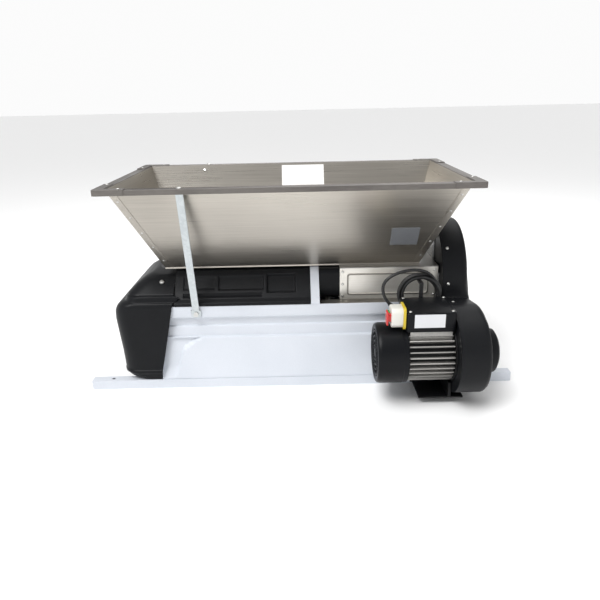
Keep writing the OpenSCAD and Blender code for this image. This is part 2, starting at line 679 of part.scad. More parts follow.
module chute_screws() for (s = [0, 1]) mirror([0, s, 0]) let (
    a = chute_shoulder(chute_gap + shell), b = chute_ridge(chute_gap + shell))
    translate([-side + 8, 0, 0]) at_axis(a + (b - a) * 0.6) rotate([atan2(b[1] - a[1], b[0] - a[0]), 0, 0])
        screw(6, 5);
module box_screws() for (s = [0, 1]) mirror([0, s, 0]) for (x = [box_left + 8, box_right - 9])
    for (h = [9, box_cover_h / 2, box_cover_h - 9])
        translate([x, -box_half - box_cover_t, box_low + h]) rotate([90, 0, 0]) screw(3.6, 3);
module terminal_screws() for (x = [box_x0 + 9, box_x1 - 9]) for (y = [box_y0 + 8, box_y1 - 8])
    translate([x, y, box_z1]) screw(4, 2.5);
module guard_screws() {
    for (a = [100, 140, 176]) translate([guard_back + 12, guard_r * cos(a), guard_mid + guard_r * sin(a)])
        rotate([a - 90, 0, 0]) screw(4, 3);
    translate([guard_back + 12, 0, 0]) at_axis(shoulder_a + (shoulder_b - shoulder_a) * 0.58)
        rotate([atan2(shoulder_b[1] - shoulder_a[1], shoulder_b[0] - shoulder_a[0]) - 180, 0, 0]) screw(4, 3);
}
module panel_screws() color("silver") {
    chute_screws();
    box_screws();
    terminal_screws();
    guard_screws();
}

// switch on the left end of the terminal box, pressed along +X
module at_switch(x) translate([x, switch_y, switch_z]) rotate([0, 90, 0]) children();
switch_x = box_x0 - 1.5;
button_w = 9;
module switch_block(h, r, cut) linear_extrude(height = h)
    polygon([[-r, -r + cut], [-r + cut, -r], [r - cut, -r], [r, -r + cut], [r, r - cut], [r - cut, r],
        [-r + cut, r], [-r, r - cut]]);
module switch_base() color("gold") at_switch(switch_x - 6) difference() {
    switch_block(6, switch_r, 4);
    translate([0, 0, -1]) cylinder(h = 8, r = 8);
}
module switch_housing() color("ivory") at_switch(switch_x - 34) difference() {
    switch_block(28, switch_r - 3, 8);
    for (s = [-1, 1]) translate([-button_w - 0.15, s * 10 - 8 - 0.15, -1]) cube([2 * button_w + 0.3, 16.3, 26]);
}
module push_button(s) at_switch(switch_x - 34 - 3 - button_travel)
    translate([-button_w, s * 10 - 8, 0]) cube([2 * button_w, 16, 21]);
module stop_button() color("red") {
    push_button(-1);
    at_switch(switch_x - 34 - 7 - button_travel) translate([-button_w - 8, -switch_r + 4, 0])
        cube([2 * button_w + 16, 24, 4]);
}
module start_button() color("green") push_button(1);

// elbow gland: a nut on the box, and a tapered relief that leaves it upwards at 45 degrees
gland_at = [box_x0 - 14, box_y1 - 24, box_z1 - 22];
relief_len = 20;
gland_r = 7.4;
module cable_gland() color("black") difference() {
    union() {
        translate(gland_at + [6.5, 0, 0]) rotate([0, 90, 0]) cylinder(h = 6, r = 10, $fn = 6);
        translate([0, gland_at[1], gland_at[2]]) bar_x(gland_at[0], gland_at[0] + 7, gland_r);
        translate(gland_at) sphere(r = gland_r + 0.8);
        translate(gland_at) rotate([0, -45, 0]) cylinder(h = relief_len, r1 = gland_r - 0.2, r2 = 5.2,
            $fn = 32);
    }
    translate(gland_at) rotate([0, -45, 0]) translate([0, 0, 4]) cylinder(h = relief_len, r = lead_d / 2 + 0.1);
}

// ---------- mains lead ----------

coil_at = [box_x0 + 55, box_y1 + 23, box_z1];
bundle_r = 11;
// route from the gland up and over into the coil, then from the coil down to the plug
lead_up = [[232, -224, 232], [222, -224, 242], [213, -224, 254], [207, -224, 268], [205, -223, 283],
    [209, -222, 297],
    [219, -221, 308], [233, -219, 316], [252, -214, 321], [273, -206, 322], [295, -197, 319], [315, -189, 312],
    [322, -187, 308]];
lead_down = [[282, -189, 197], [270, -189, 195], [259, -188, 188], [252, -186, 176], [250, -185, 162],
    [249, -184, 140],
    [248, -184, 118], [248, -187, 96], [248, -193, 78], [251, -200, 63], [259, -206, 51], [271, -210, 43],
        [284, -212, 40],
    [298, -212, 40], [320, -212, 40]];
lead_sides = 10;
function unit(v) = v / norm(v);
function heading(p, i) = unit(p[min(i + 1, len(p) - 1)] - p[max(i - 1, 0)]);
function ring_at(p, i) = let (t = heading(p, i), u = unit(cross(t, [0.2, 1, 0.1])), v = cross(t, u))
    [for (k = [0 : lead_sides - 1])
        p[i] + lead_d / 2 * (cos(k * 360 / lead_sides) * u + sin(k * 360 / lead_sides) * v)];
module tube(p) {
    n = lead_sides;
    last = (len(p) - 1) * n;
    polyhedron(points = [for (i = [0 : len(p) - 1]) each ring_at(p, i)],
        faces = concat([[for (k = [n - 1 : -1 : 0]) k]], [[for (k = [0 : n - 1]) last + k]],
            [for (i = [0 : len(p) - 2]) for (k = [0 : n - 1]) let (a = i * n + k, b = i * n + (k + 1) % n)
                each [[a, b, b + n], [a, b + n, a + n]]]));
}
module mains_lead() color("black") {
    tube(lead_up);
    tube(lead_down);
}
module mains_coil() color("black") translate(coil_at) rotate([90, 0, 0]) rotate_extrude()
    translate([coil_r, 0]) circle(r = bundle_r);
module mains_plug() color("black") translate([0, -212, 22 + 18]) {
    difference() {
        union() {
            translate([296, 0, 0]) rotate([0, 90, 0]) cylinder(h = 26, r1 = 5.4, r2 = 9, $fn = 32);
            bar_x(322, 328, 13);
            bar_x(328, 346, 18);
        }
        bar_x(295, 321, lead_d / 2 + 0.1);
    }
    for (s = [-1, 1]) translate([0, s * 9.5, 0]) bar_x(346, 360, 2.4);
}
// hook on the back of the terminal box that the coil hangs on, and the band round the coil
hook_w = 10;
module hook_and_tie() color("dimgray") {
    translate(coil_at) rotate([0, 35, 0]) translate([coil_r, 0, -3]) difference() {
        cylinder(h = 6, r = bundle_r + 1.5);
        translate([0, 0, -1]) cylinder(h = 8, r = bundle_r + 0.5);
    }
    hook_y = box_y1 + lid_over;
    top = coil_at[2] + coil_r - bundle_r - 0.9;
    translate([coil_at[0] - hook_w / 2, hook_y, box_z1 - 34]) cube([hook_w, 3, top - box_z1 + 34]);
    translate([coil_at[0] - hook_w / 2, hook_y, top - 5]) cube([hook_w, coil_at[1] + bundle_r + 5 - hook_y, 5]);
    translate([coil_at[0] - hook_w / 2, coil_at[1] + bundle_r + 2, top - 5]) cube([hook_w, 3, 16]);
}

// ---------- drive ----------

beater_at = [0, beater_z];
front_at = [-roller_half, roller_z];
rear_at = [roller_half, roller_z];
auger_at = [0, auger_z];
motor_at = [motor_y, motor_z];
module at_axis(p) translate([0, p[0], p[1]]) children();

belt_gap = 0.3;
belt_t = 4;
module drive_belt() color("black") loop_x(pulley_x + 3, pulley_x + pulley_w - 3, motor_at,
    motor_pulley_r + belt_gap,
    beater_at, large_pulley_r + belt_gap, belt_t);
module auger_chain() color("gray") loop_x(chain_x + 1, chain_x + chain_w - 1, front_at,
    small_sprocket_r + belt_gap,
    auger_at, large_sprocket_r + belt_gap, 5);

module pulley(r, hub, bore, holes) difference() {
    union() {
        ring_x(pulley_x, pulley_x + pulley_w, r, r - 10);
        ring_x(pulley_x, pulley_x + 2, r + belt_t - 0.5, r - 10);
        ring_x(pulley_x + pulley_w - 2, pulley_x + pulley_w, r + belt_t - 0.5, r - 10);
        ring_x(pulley_x + 7, pulley_x + 13, r - 9, bore);
        ring_x(pulley_x, pulley_x + pulley_w, hub, bore);
    }
    if (holes > 0) for (i = [0 : holes - 1]) rotate([i * 360 / holes, 0, 0])
        translate([0, 0, (r - 10 + hub) / 2]) bar_x(pulley_x, pulley_x + pulley_w, (r - 10 - hub) * 0.34);
}
module large_pulley() color("gray") at_axis(beater_at) pulley(large_pulley_r, 26, beater_shaft_r, 5);
module motor_pulley() color("gray") at_motor() pulley(motor_pulley_r, 17.5, motor_shaft_r, 0);

shaft_end = pulley_x + pulley_w + 4;
module beater_shaft() color("silver") at_axis(beater_at) bar_x(bar_x0 - 22, shaft_end, beater_shaft_r);
paddle_x0 = -side + 30;
paddle_step = (trough_len - 74) / (paddle_count - 1);
module beater_paddles() color("silver") at_axis(beater_at) for (i = [0 : paddle_count - 1])
    translate([paddle_x0 + i * paddle_step, 0, 0]) {
        ring_x(-9, 9, beater_shaft_r + 6, beater_shaft_r);
        rotate([i * 72, 0, 0]) {
            translate([0, 0, beater_shaft_r + 4]) cylinder(h = paddle_r - 20 - beater_shaft_r - 4, r = 5);
            rotate([0, 0, 35]) translate([-14, -2.5, paddle_r - 34]) cube([28, 5, 33]);
        }
    }
pinion_turn = atan2(roller_z - beater_z, -roller_half);
module beater_pinion() color("gray") at_axis(beater_at) gear_x(wheel_x, pinion_teeth, beater_shaft_r,
    pinion_turn);

module lobed(phase) along_x(box_left + plate_t + 2, side - plate_t - 10) difference() {
    polygon([for (a = [0 : 3 : 357]) (roller_r + lobe * cos(6 * a + phase)) * [cos(a), sin(a)]]);
    circle(r = roller_shaft_r);
}
module front_roller() color("gainsboro") at_axis(front_at) lobed(0);
module rear_roller() color("gainsboro") at_axis(rear_at) lobed(180);
module front_roller_shaft() color("silver") at_axis(front_at) bar_x(box_left - 12, wheel_x + gear_w + 1,
    roller_shaft_r);
module rear_roller_shaft() color("silver") at_axis(rear_at) bar_x(box_left - 12, sync_x + gear_w + 1,
    roller_shaft_r);
module front_roller_gears() color("gray") at_axis(front_at) {
    gear_x(wheel_x, wheel_teeth, roller_shaft_r, pinion_turn + 180 + 180 / wheel_teeth);
    gear_x(sync_x, sync_teeth, roller_shaft_r, 0);
    chain_sprocket(small_sprocket_r, roller_shaft_r);
}
module rear_roller_gear() color("gray") at_axis(rear_at) gear_x(sync_x, sync_teeth, roller_shaft_r,
    180 + 180 / sync_teeth);
module chain_sprocket(r, bore) {
    ring_x(chain_x, chain_x + 1, r + 3, bore);
    ring_x(chain_x + chain_w - 1, chain_x + chain_w, r + 3, bore);
    ring_x(chain_x + 1, chain_x + chain_w - 1, r, bore);
}
module auger_sprocket() color("gray") at_axis(auger_at) chain_sprocket(large_sprocket_r, auger_shaft_r);

module auger_shaft() color("silver") at_axis(auger_at) bar_x(auger_seat - 4, chain_x + chain_w + 2,
    auger_shaft_r);
flight_x0 = hopper_shift - throat_len / 2 + 12;
flight_len = throat_len - 24;
flight_arc = 2.5 * 360 / auger_pitch;
module auger_flight() color("silver") at_axis(auger_at) translate([flight_x0, 0, 0]) rotate([0, 90, 0])
    linear_extrude(height = flight_len, twist = -360 * flight_len / auger_pitch,
        slices = round(flight_len / auger_pitch * 24), $fn = 8)
        polygon(concat(arc(0, 0, auger_r, 0, flight_arc, 3), arc(0, 0, auger_shaft_r + 0.1, flight_arc, 0, 3)));

module motor_rotor() color("silver") at_motor() {
    bar_x(cowl_x + 12, pulley_x + pulley_w + 2, motor_shaft_r);
    bar_x(stator_x + 6, shield_x - 6, rotor_r);
}
module motor_fan() color("black") at_motor() {
    ring_x(cowl_x + 16, cowl_x + 44, motor_shaft_r + 7, motor_shaft_r);
    ring_x(cowl_x + 40, cowl_x + 43, 60, motor_shaft_r + 6);
    for (i = [0 : 7]) rotate([i * 45, 0, 0]) translate([cowl_x + 18, -1.5, motor_shaft_r + 6])
        cube([23, 3, 46]);
}

// ---------- assembly ----------

module placed() translate([0, shift_y, 0]) children();

placed() rails();
placed() rail_end_plugs();
placed() front_side_panel();
placed() rear_side_panel();
placed() stem_end_plate();
placed() drive_end_plate();
placed() perforated_drum();
placed() trough_bridges();
placed() stem_chute_cover();
placed() drum_top_cover();
placed() roller_bearing_cover();
placed() roller_box_inner_plate();
placed() roller_box_covers();
placed() roller_box_top();
placed() hopper_floor_pan();
placed() hopper_front_wall();
placed() hopper_rear_wall();
placed() hopper_left_wall();
placed() hopper_right_wall();
placed() hopper_corner_plates();
placed() hopper_struts();
placed() hopper_fasteners();
placed() hopper_sticker();
placed() blank_plates();
placed() shaft_bearings();
placed() panel_screws();
placed() guard_back_plate();
placed() guard_cover();
placed() motor_bracket();
placed() motor_stator();
placed() motor_end_shields();
placed() fan_cowl();
placed() terminal_box();
placed() switch_base();
placed() switch_housing();
placed() stop_button();
placed() start_button();
placed() cable_gland();
placed() mains_lead();
placed() mains_coil();
placed() hook_and_tie();
placed() mains_plug();
placed() beater_shaft();
placed() beater_paddles();
placed() large_pulley();
placed() beater_pinion();
placed() front_roller();
placed() front_roller_shaft();
placed() front_roller_gears();
placed() rear_roller();
placed() rear_roller_shaft();
placed() rear_roller_gear();
placed() auger_shaft();
placed() auger_flight();
placed() auger_sprocket();
placed() motor_rotor();
placed() motor_fan();
placed() motor_pulley();
placed() drive_belt();
placed() auger_chain();
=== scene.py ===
import math
import bmesh
import bpy
import numpy as np
from mathutils import Matrix, Vector


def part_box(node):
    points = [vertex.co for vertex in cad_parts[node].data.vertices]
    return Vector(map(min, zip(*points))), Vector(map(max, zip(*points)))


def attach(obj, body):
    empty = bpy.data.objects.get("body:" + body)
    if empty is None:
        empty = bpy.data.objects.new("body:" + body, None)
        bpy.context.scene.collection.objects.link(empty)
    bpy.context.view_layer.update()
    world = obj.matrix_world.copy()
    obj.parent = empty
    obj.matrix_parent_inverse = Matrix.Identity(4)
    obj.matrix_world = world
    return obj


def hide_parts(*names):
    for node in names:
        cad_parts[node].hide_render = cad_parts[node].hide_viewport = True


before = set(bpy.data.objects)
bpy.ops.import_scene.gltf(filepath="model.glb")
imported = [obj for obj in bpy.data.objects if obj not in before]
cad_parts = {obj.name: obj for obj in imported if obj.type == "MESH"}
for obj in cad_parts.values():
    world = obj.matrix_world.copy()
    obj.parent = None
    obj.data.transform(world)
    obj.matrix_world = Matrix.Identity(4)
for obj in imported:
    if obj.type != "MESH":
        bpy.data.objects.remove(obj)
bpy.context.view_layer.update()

mm = 0.001
lowY, highY = (corner.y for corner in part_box("beater_shaft"))
midY = (lowY + highY) / 2          # the upright plane through the beater shaft
print("frame loaded:", len(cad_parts), "nodes")


# ---- places: x along the machine, y from the beater's plane, z up, all in millimetres ----

def framed(points):
    return np.asarray(points, float) * mm + np.array([0.0, midY, 0.0])


# ---- camera ----

view = {"place": (2.141, -1518.39, 731.276), "down": 0.351, "yaw": 0.001, "roll": -0.022, "lens": 33.52}

camera = bpy.data.objects.new("camera", bpy.data.cameras.new("camera"))
bpy.context.scene.collection.objects.link(camera)
camera.data.lens = view["lens"]
camera.data.sensor_width = 36
camera.data.clip_start = 0.05
camera.data.clip_end = 60
turned = Matrix.Rotation(view["yaw"], 4, "Z") @ Matrix.Rotation(math.pi / 2 - view["down"], 4, "X")
turned = turned @ Matrix.Rotation(view["roll"], 4, "Z")
camera.matrix_world = Matrix.Translation(framed(view["place"]).tolist()) @ turned
bpy.context.scene.camera = camera


# ---- finishes ----

def addNode(tree, kind, **values):
    node = tree.nodes.new(kind)
    for key, value in values.items():
        if hasattr(node, key):
            setattr(node, key, value)
        else:
            node.inputs[key].default_value = value
    return node


def mixColour(tree, amount, first, second):
    node = addNode(tree, "ShaderNodeMix", data_type="RGBA")
    for value, place in ((amount, 0), (first, 6), (second, 7)):
        if isinstance(value, bpy.types.NodeSocket):
            tree.links.new(value, node.inputs[place])
        else:
            node.inputs[place].default_value = value if place == 0 else (*value, 1)
    return node.outputs[2]


def span(tree, value, low, high, start=0.0, end=1.0):
    node = addNode(tree, "ShaderNodeMapRange")
    tree.links.new(value, node.inputs[0])
    for place, number in zip((1, 2, 3, 4), (low, high, start, end)):
        node.inputs[place].default_value = number
    return node.outputs[0]


# A finish: a broad noise slides the colour from tone to shade, a stretched fine noise draws the grain in
# colour, roughness and bump, and a third noise, cut off at a threshold, leaves marks of a third colour.
def makeFinish(name, look):
    material = bpy.data.materials.new(name)
    material.use_nodes = True
    tree = material.node_tree
    shader = tree.nodes["Principled BSDF"]
    coords = addNode(tree, "ShaderNodeTexCoord").outputs["Object"]
    stretch = addNode(tree, "ShaderNodeMapping", Scale=look.get("stretch", (1, 1, 1)))
    tree.links.new(coords, stretch.inputs[0])
    broad = addNode(tree, "ShaderNodeTexNoise", Scale=look.get("broad", 6.0), Detail=3.0)
    tree.links.new(coords, broad.inputs["Vector"])
    if look.get("spangle"):
        grain = addNode(tree, "ShaderNodeTexVoronoi", Scale=look["grain"])
        grainValue = grain.outputs["Color"]
    else:
        grain = addNode(tree, "ShaderNodeTexNoise", Scale=look["grain"], Detail=5.0, Roughness=0.6)
        grainValue = grain.outputs[0]
    tree.links.new(stretch.outputs[0], grain.inputs["Vector"])
    marks = addNode(tree, "ShaderNodeTexNoise", Scale=look.get("markSize", 60.0), Detail=8.0, Roughness=0.7)
    tree.links.new(stretch.outputs[0], marks.inputs["Vector"])
    if look.get("spangle"):
        flat = addNode(tree, "ShaderNodeSeparateColor")
        tree.links.new(grainValue, flat.inputs[0])
        grainValue = flat.outputs[0]
    broadValue = span(tree, broad.outputs[0], 0.3, 0.7)
    colour = mixColour(tree, broadValue, look["tone"], look["shade"])
    light = look.get("glint", tuple(min(1.0, c * 1.25 + 0.01) for c in look["tone"]))
    grainMask = span(tree, grainValue, 0.35, 0.75, 0.0, look.get("grainShow", 0.5))
    colour = mixColour(tree, grainMask, colour, light)
    markMask = span(tree, marks.outputs[0], look.get("markFrom", 0.64), 0.78, 0.0,
                    look.get("markShow", 0.4))
    colour = mixColour(tree, markMask, colour, look.get("mark", look["shade"]))
    tree.links.new(colour, shader.inputs["Base Color"])
    low, high = look["rough"]
    blend = addNode(tree, "ShaderNodeMath", operation="ADD")
    tree.links.new(grainValue, blend.inputs[0])
    tree.links.new(broad.outputs[0], blend.inputs[1])
    tree.links.new(span(tree, blend.outputs[0], 0.6, 1.4, low, high), shader.inputs["Roughness"])
    bump = addNode(tree, "ShaderNodeBump", Strength=look.get("bump", 0.3),
                   Distance=look.get("depth", 0.0004))
    tree.links.new(grainValue, bump.inputs["Height"])
    tree.links.new(bump.outputs[0], shader.inputs["Normal"])
    shader.inputs["Metallic"].default_value = look.get("metal", 0.0)
    shader.inputs["Anisotropic"].default_value = look.get("aniso", 0.0)
    shader.inputs["Coat Weight"].default_value = look.get("coat", 0.0)
    shader.inputs["Coat Roughness"].default_value = 0.15
    shader.inputs["Specular IOR Level"].default_value = look.get("gloss", 0.5)
    return material


looks = {
    "whitePaint": {"tone": (0.66, 0.69, 0.745), "shade": (0.60, 0.635, 0.69), "mark": (0.48, 0.50, 0.53),
                   "markFrom": 0.7, "markShow": 0.35, "grain": 420, "grainShow": 0.15,
                   "rough": (0.32, 0.5), "bump": 0.12, "depth": 0.0002, "coat": 0.15},
    "stainlessLong": {"tone": (0.56, 0.525, 0.47), "shade": (0.36, 0.335, 0.30), "grain": 40,
                      "stretch": (0.12, 9, 9), "grainShow": 0.32, "broad": 2.2, "rough": (0.24, 0.4),
                      "metal": 0.96, "bump": 0.12, "depth": 0.0002, "mark": (0.18, 0.17, 0.155),
                      "markSize": 9, "markShow": 0.25},
    "stainlessShort": {"tone": (0.56, 0.525, 0.47), "shade": (0.38, 0.355, 0.32), "grain": 40,
                       "stretch": (9, 0.12, 9), "grainShow": 0.32, "broad": 2.6, "rough": (0.24, 0.4),
                       "metal": 0.96, "bump": 0.12, "depth": 0.0002, "mark": (0.18, 0.17, 0.155),
                       "markSize": 9, "markShow": 0.25},
    # painted shade: the hopper rim and its corner plates are the walls' stainless, darkened to stand for the
    # shade on the rolled lip
    "rimSteelPaintedShade": {"tone": (0.21, 0.195, 0.18), "shade": (0.13, 0.12, 0.115), "grain": 120,
                 "stretch": (0.4, 1, 3), "grainShow": 0.4, "rough": (0.35, 0.55), "metal": 0.9,
                 "bump": 0.2},
    "galvanised": {"tone": (0.62, 0.66, 0.67), "shade": (0.5, 0.54, 0.56), "glint": (0.82, 0.86, 0.87),
                   "grain": 150, "spangle": True, "grainShow": 0.25, "rough": (0.3, 0.5), "metal": 0.75,
                   "bump": 0.08, "mark": (0.36, 0.36, 0.35)},
    "coverPlate": {"tone": (0.86, 0.83, 0.77), "shade": (0.76, 0.73, 0.67), "grain": 60,
                   "stretch": (0.3, 8, 8), "grainShow": 0.3, "rough": (0.3, 0.44), "metal": 0.8,
                   "bump": 0.1, "mark": (0.5, 0.47, 0.42)},
    # painted shade: this dark finish on the cover plate's bead stands in for the shadow in the groove round
    # the plate
    "coverBeadPaintedShade": {"tone": (0.30, 0.285, 0.26), "shade": (0.20, 0.19, 0.17), "grain": 60,
                  "stretch": (0.3, 8, 8), "grainShow": 0.3, "rough": (0.32, 0.46), "metal": 0.85,
                  "bump": 0.1, "mark": (0.1, 0.09, 0.08)},
    "blackPlastic": {"tone": (0.009, 0.0095, 0.011), "shade": (0.006, 0.0065, 0.0075),
                     "glint": (0.022, 0.023, 0.025), "grain": 900, "grainShow": 0.3, "rough": (0.3, 0.46),
                     "bump": 0.2, "depth": 0.00015, "mark": (0.045, 0.045, 0.045), "markSize": 45,
                     "markFrom": 0.7, "markShow": 0.25, "gloss": 0.14},
    "boxPlastic": {"tone": (0.006, 0.0065, 0.008), "shade": (0.004, 0.0045, 0.0055),
                   "glint": (0.016, 0.017, 0.019), "grain": 1200, "grainShow": 0.3, "rough": (0.26, 0.4),
                   "bump": 0.15, "depth": 0.0001, "mark": (0.035, 0.035, 0.035), "markSize": 50,
                   "markShow": 0.2, "gloss": 0.14},
    # real black paint on the bracket and end shields; on the stator it is painted shade between the fins
    "blackPaintAndFinGapShade": {"tone": (0.006, 0.006, 0.007), "shade": (0.004, 0.004, 0.0045),
                   "glint": (0.016, 0.016, 0.017), "grain": 260, "grainShow": 0.4, "rough": (0.28, 0.5),
                   "bump": 0.3, "depth": 0.0003, "mark": (0.05, 0.048, 0.045), "markSize": 70,
                   "markShow": 0.2, "gloss": 0.2},
    "castAlloy": {"tone": (0.46, 0.45, 0.43), "shade": (0.34, 0.335, 0.32), "grain": 320,
                  "grainShow": 0.5, "rough": (0.34, 0.55), "metal": 0.8, "bump": 0.4, "depth": 0.0004,
                  "mark": (0.14, 0.13, 0.12)},
    "turnedSteel": {"tone": (0.56, 0.55, 0.53), "shade": (0.44, 0.435, 0.42), "grain": 90,
                    "stretch": (12, 0.6, 0.6), "grainShow": 0.4, "rough": (0.18, 0.36), "metal": 1.0,
                    "bump": 0.15, "mark": (0.25, 0.2, 0.15)},
    "gearSteel": {"tone": (0.30, 0.295, 0.29), "shade": (0.20, 0.195, 0.19), "grain": 240,
                  "grainShow": 0.4, "rough": (0.3, 0.5), "metal": 0.95, "bump": 0.25,
                  "mark": (0.09, 0.07, 0.05), "markShow": 0.5},
    "bearingSteel": {"tone": (0.42, 0.42, 0.42), "shade": (0.33, 0.33, 0.33), "grain": 200,
                     "grainShow": 0.4, "stretch": (8, 1, 1), "rough": (0.2, 0.4), "metal": 0.95,
                     "bump": 0.15},
    "screwSteel": {"tone": (0.66, 0.66, 0.64), "shade": (0.52, 0.52, 0.5), "grain": 500, "grainShow": 0.5,
                   "rough": (0.2, 0.38), "metal": 0.95, "bump": 0.3, "mark": (0.25, 0.24, 0.22)},
    "rollerAlloy": {"tone": (0.58, 0.58, 0.575), "shade": (0.47, 0.47, 0.465), "grain": 180,
                    "stretch": (0.2, 4, 4), "grainShow": 0.4, "rough": (0.28, 0.46), "metal": 0.9,
                    "bump": 0.2, "mark": (0.2, 0.15, 0.18)},
    "paddleSteel": {"tone": (0.50, 0.49, 0.47), "shade": (0.38, 0.375, 0.36), "grain": 160,
                    "grainShow": 0.5, "rough": (0.25, 0.42), "metal": 0.95, "bump": 0.2,
                    "mark": (0.2, 0.13, 0.14)},
    "drumSteel": {"tone": (0.52, 0.51, 0.49), "shade": (0.40, 0.395, 0.38), "grain": 90,
                  "stretch": (0.3, 5, 5), "grainShow": 0.4, "rough": (0.25, 0.42), "metal": 0.95,
                  "bump": 0.15},
    "labelWhite": {"tone": (0.72, 0.73, 0.75), "shade": (0.66, 0.67, 0.69), "grain": 700,
                   "grainShow": 0.2, "rough": (0.25, 0.4), "bump": 0.05, "mark": (0.5, 0.5, 0.5),
                   "markShow": 0.3},
    "plateAlloy": {"tone": (0.33, 0.345, 0.37), "shade": (0.25, 0.26, 0.285), "grain": 300,
                   "stretch": (0.2, 3, 3), "grainShow": 0.4, "rough": (0.3, 0.45), "metal": 0.6,
                   "bump": 0.1},
    "stickerWhite": {"tone": (0.86, 0.85, 0.83), "shade": (0.8, 0.79, 0.77), "grain": 600,
                     "grainShow": 0.2, "rough": (0.3, 0.42), "bump": 0.05, "mark": (0.6, 0.59, 0.57),
                     "markShow": 0.3},
    "switchYellow": {"tone": (0.62, 0.46, 0.02), "shade": (0.5, 0.37, 0.02), "grain": 700,
                     "grainShow": 0.2, "rough": (0.3, 0.45), "bump": 0.1, "mark": (0.2, 0.15, 0.02)},
    "switchIvory": {"tone": (0.70, 0.69, 0.64), "shade": (0.62, 0.61, 0.56), "grain": 700,
                    "grainShow": 0.2, "rough": (0.28, 0.42), "bump": 0.1, "mark": (0.4, 0.38, 0.34)},
    "buttonRed": {"tone": (0.60, 0.018, 0.012), "shade": (0.45, 0.012, 0.01), "grain": 700,
                  "grainShow": 0.2, "rough": (0.22, 0.38), "bump": 0.1, "mark": (0.25, 0.02, 0.02),
                  "coat": 0.2},
    "buttonGreen": {"tone": (0.02, 0.30, 0.06), "shade": (0.015, 0.22, 0.045), "grain": 700,
                    "grainShow": 0.2, "rough": (0.22, 0.38), "bump": 0.1, "mark": (0.01, 0.1, 0.02),
                    "coat": 0.2},
    "leadRubber": {"tone": (0.013, 0.013, 0.014), "shade": (0.009, 0.009, 0.010),
                   "glint": (0.03, 0.03, 0.03), "grain": 900, "grainShow": 0.4, "rough": (0.35, 0.55),
                   "bump": 0.25, "mark": (0.06, 0.06, 0.06)},
    "beltRubber": {"tone": (0.018, 0.018, 0.018), "shade": (0.012, 0.012, 0.012), "grain": 600,
                   "grainShow": 0.3, "rough": (0.55, 0.75), "bump": 0.4, "mark": (0.07, 0.065, 0.06)},
    "greyPlug": {"tone": (0.55, 0.56, 0.57), "shade": (0.47, 0.48, 0.49), "grain": 700, "grainShow": 0.2,
                 "rough": (0.4, 0.55), "bump": 0.15},
}
finishes = {name: makeFinish(name, look) for name, look in looks.items()}

print("finishes made:", len(finishes))


# ---- making pieces ----

def linkPiece(name, mesh, finish, body, stands, sharp):
    mesh.materials.clear()
    mesh.materials.append(finishes[finish])
    mesh.shade_smooth()
    mesh.set_sharp_from_angle(angle=math.radians(sharp))
    piece = bpy.data.objects.new(name, mesh)
    bpy.context.scene.collection.objects.link(piece)
    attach(piece, body)
    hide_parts(*stands)
    return piece


# A piece from points and faces: doubled points are merged and the faces turned outwards.
def newPiece(name, parts, finish, body="machine", stands=(), sharp=35):
    points, faces = [], []
    for somePoints, someFaces in parts:
        start = sum(len(p) for p in points)
        points.append(np.asarray(somePoints, float).reshape(-1, 3))
        faces += [[int(i) + start for i in face] for face in someFaces]
    mesh = bpy.data.meshes.new(name)
    mesh.from_pydata(framed(np.concatenate(points)).tolist(), [], faces)
    work = bmesh.new()
    work.from_mesh(mesh)
    bmesh.ops.remove_doubles(work, verts=work.verts, dist=0.00001)
    bmesh.ops.recalc_face_normals(work, faces=work.faces)
    work.to_mesh(mesh)
    work.free()
    return linkPiece(name, mesh, finish, body, stands, sharp)


# Square faces over a grid of nu by nv points, joined end to end where it is closed.
def gridFaces(nu, nv, closeU=False, closeV=False):
    i, j = np.meshgrid(np.arange(nu if closeU else nu - 1), np.arange(nv if closeV else nv - 1),
                       indexing="ij")
    a, b = i.ravel(), j.ravel()
    c, d = (a + 1) % nu, (b + 1) % nv
    return np.stack([a * nv + b, c * nv + b, c * nv + d, a * nv + d], axis=1).tolist()


# Each point moves by depth against the grid's own normal, turned to face away from the middle point.
def pushedIn(grid, depth, middle):
    across, along = np.gradient(grid, axis=0), np.gradient(grid, axis=1)
    normal = np.cross(across, along)
    normal /= np.maximum(np.linalg.norm(normal, axis=2, keepdims=True), 1e-9)
    if np.sum(normal * (grid - np.asarray(middle, float))) < 0:
        normal = -normal
    return grid - normal * (depth[..., None] if isinstance(depth, np.ndarray) else depth)


# A wall: the grid, the same grid pushed in by its thickness, and a strip that closes each edge.
def wallOf(grid, thick, middle):
    inner = pushedIn(grid, thick, middle)
    nu, nv = grid.shape[:2]
    total = nu * nv
    faces = gridFaces(nu, nv)
    faces += [[i + total for i in reversed(face)] for face in faces]
    edge = [i * nv for i in range(nu)] + [(nu - 1) * nv + j for j in range(1, nv)]
    edge += [i * nv + nv - 1 for i in range(nu - 2, -1, -1)] + [j for j in range(nv - 2, 0, -1)]
    faces += [[a, b, b + total, a + total] for a, b in zip(edge, edge[1:] + edge[:1])]
    return np.concatenate([grid.reshape(-1, 3), inner.reshape(-1, 3)]), faces


# Each corner C becomes the curve P(1-s)^2 + 2Cs(1-s) + Qs^2, where P and Q lie at distance reach from it.
def softCorners(points, reach, steps=5, closed=False):
    points = np.asarray(points, float)
    reach = np.broadcast_to(reach, len(points))
    s = np.linspace(0, 1, steps)[:, None]
    made = []
    for k, corner in enumerate(points):
        if not closed and k in (0, len(points) - 1):
            made.append(corner[None])
            continue
        back, on = points[k - 1] - corner, points[(k + 1) % len(points)] - corner
        far = min(reach[k], 0.48 * np.linalg.norm(back), 0.48 * np.linalg.norm(on))
        first = corner + back / np.linalg.norm(back) * far
        last = corner + on / np.linalg.norm(on) * far
        made.append(first * (1 - s) ** 2 + 2 * corner * s * (1 - s) + last * s ** 2)
    return np.concatenate(made)


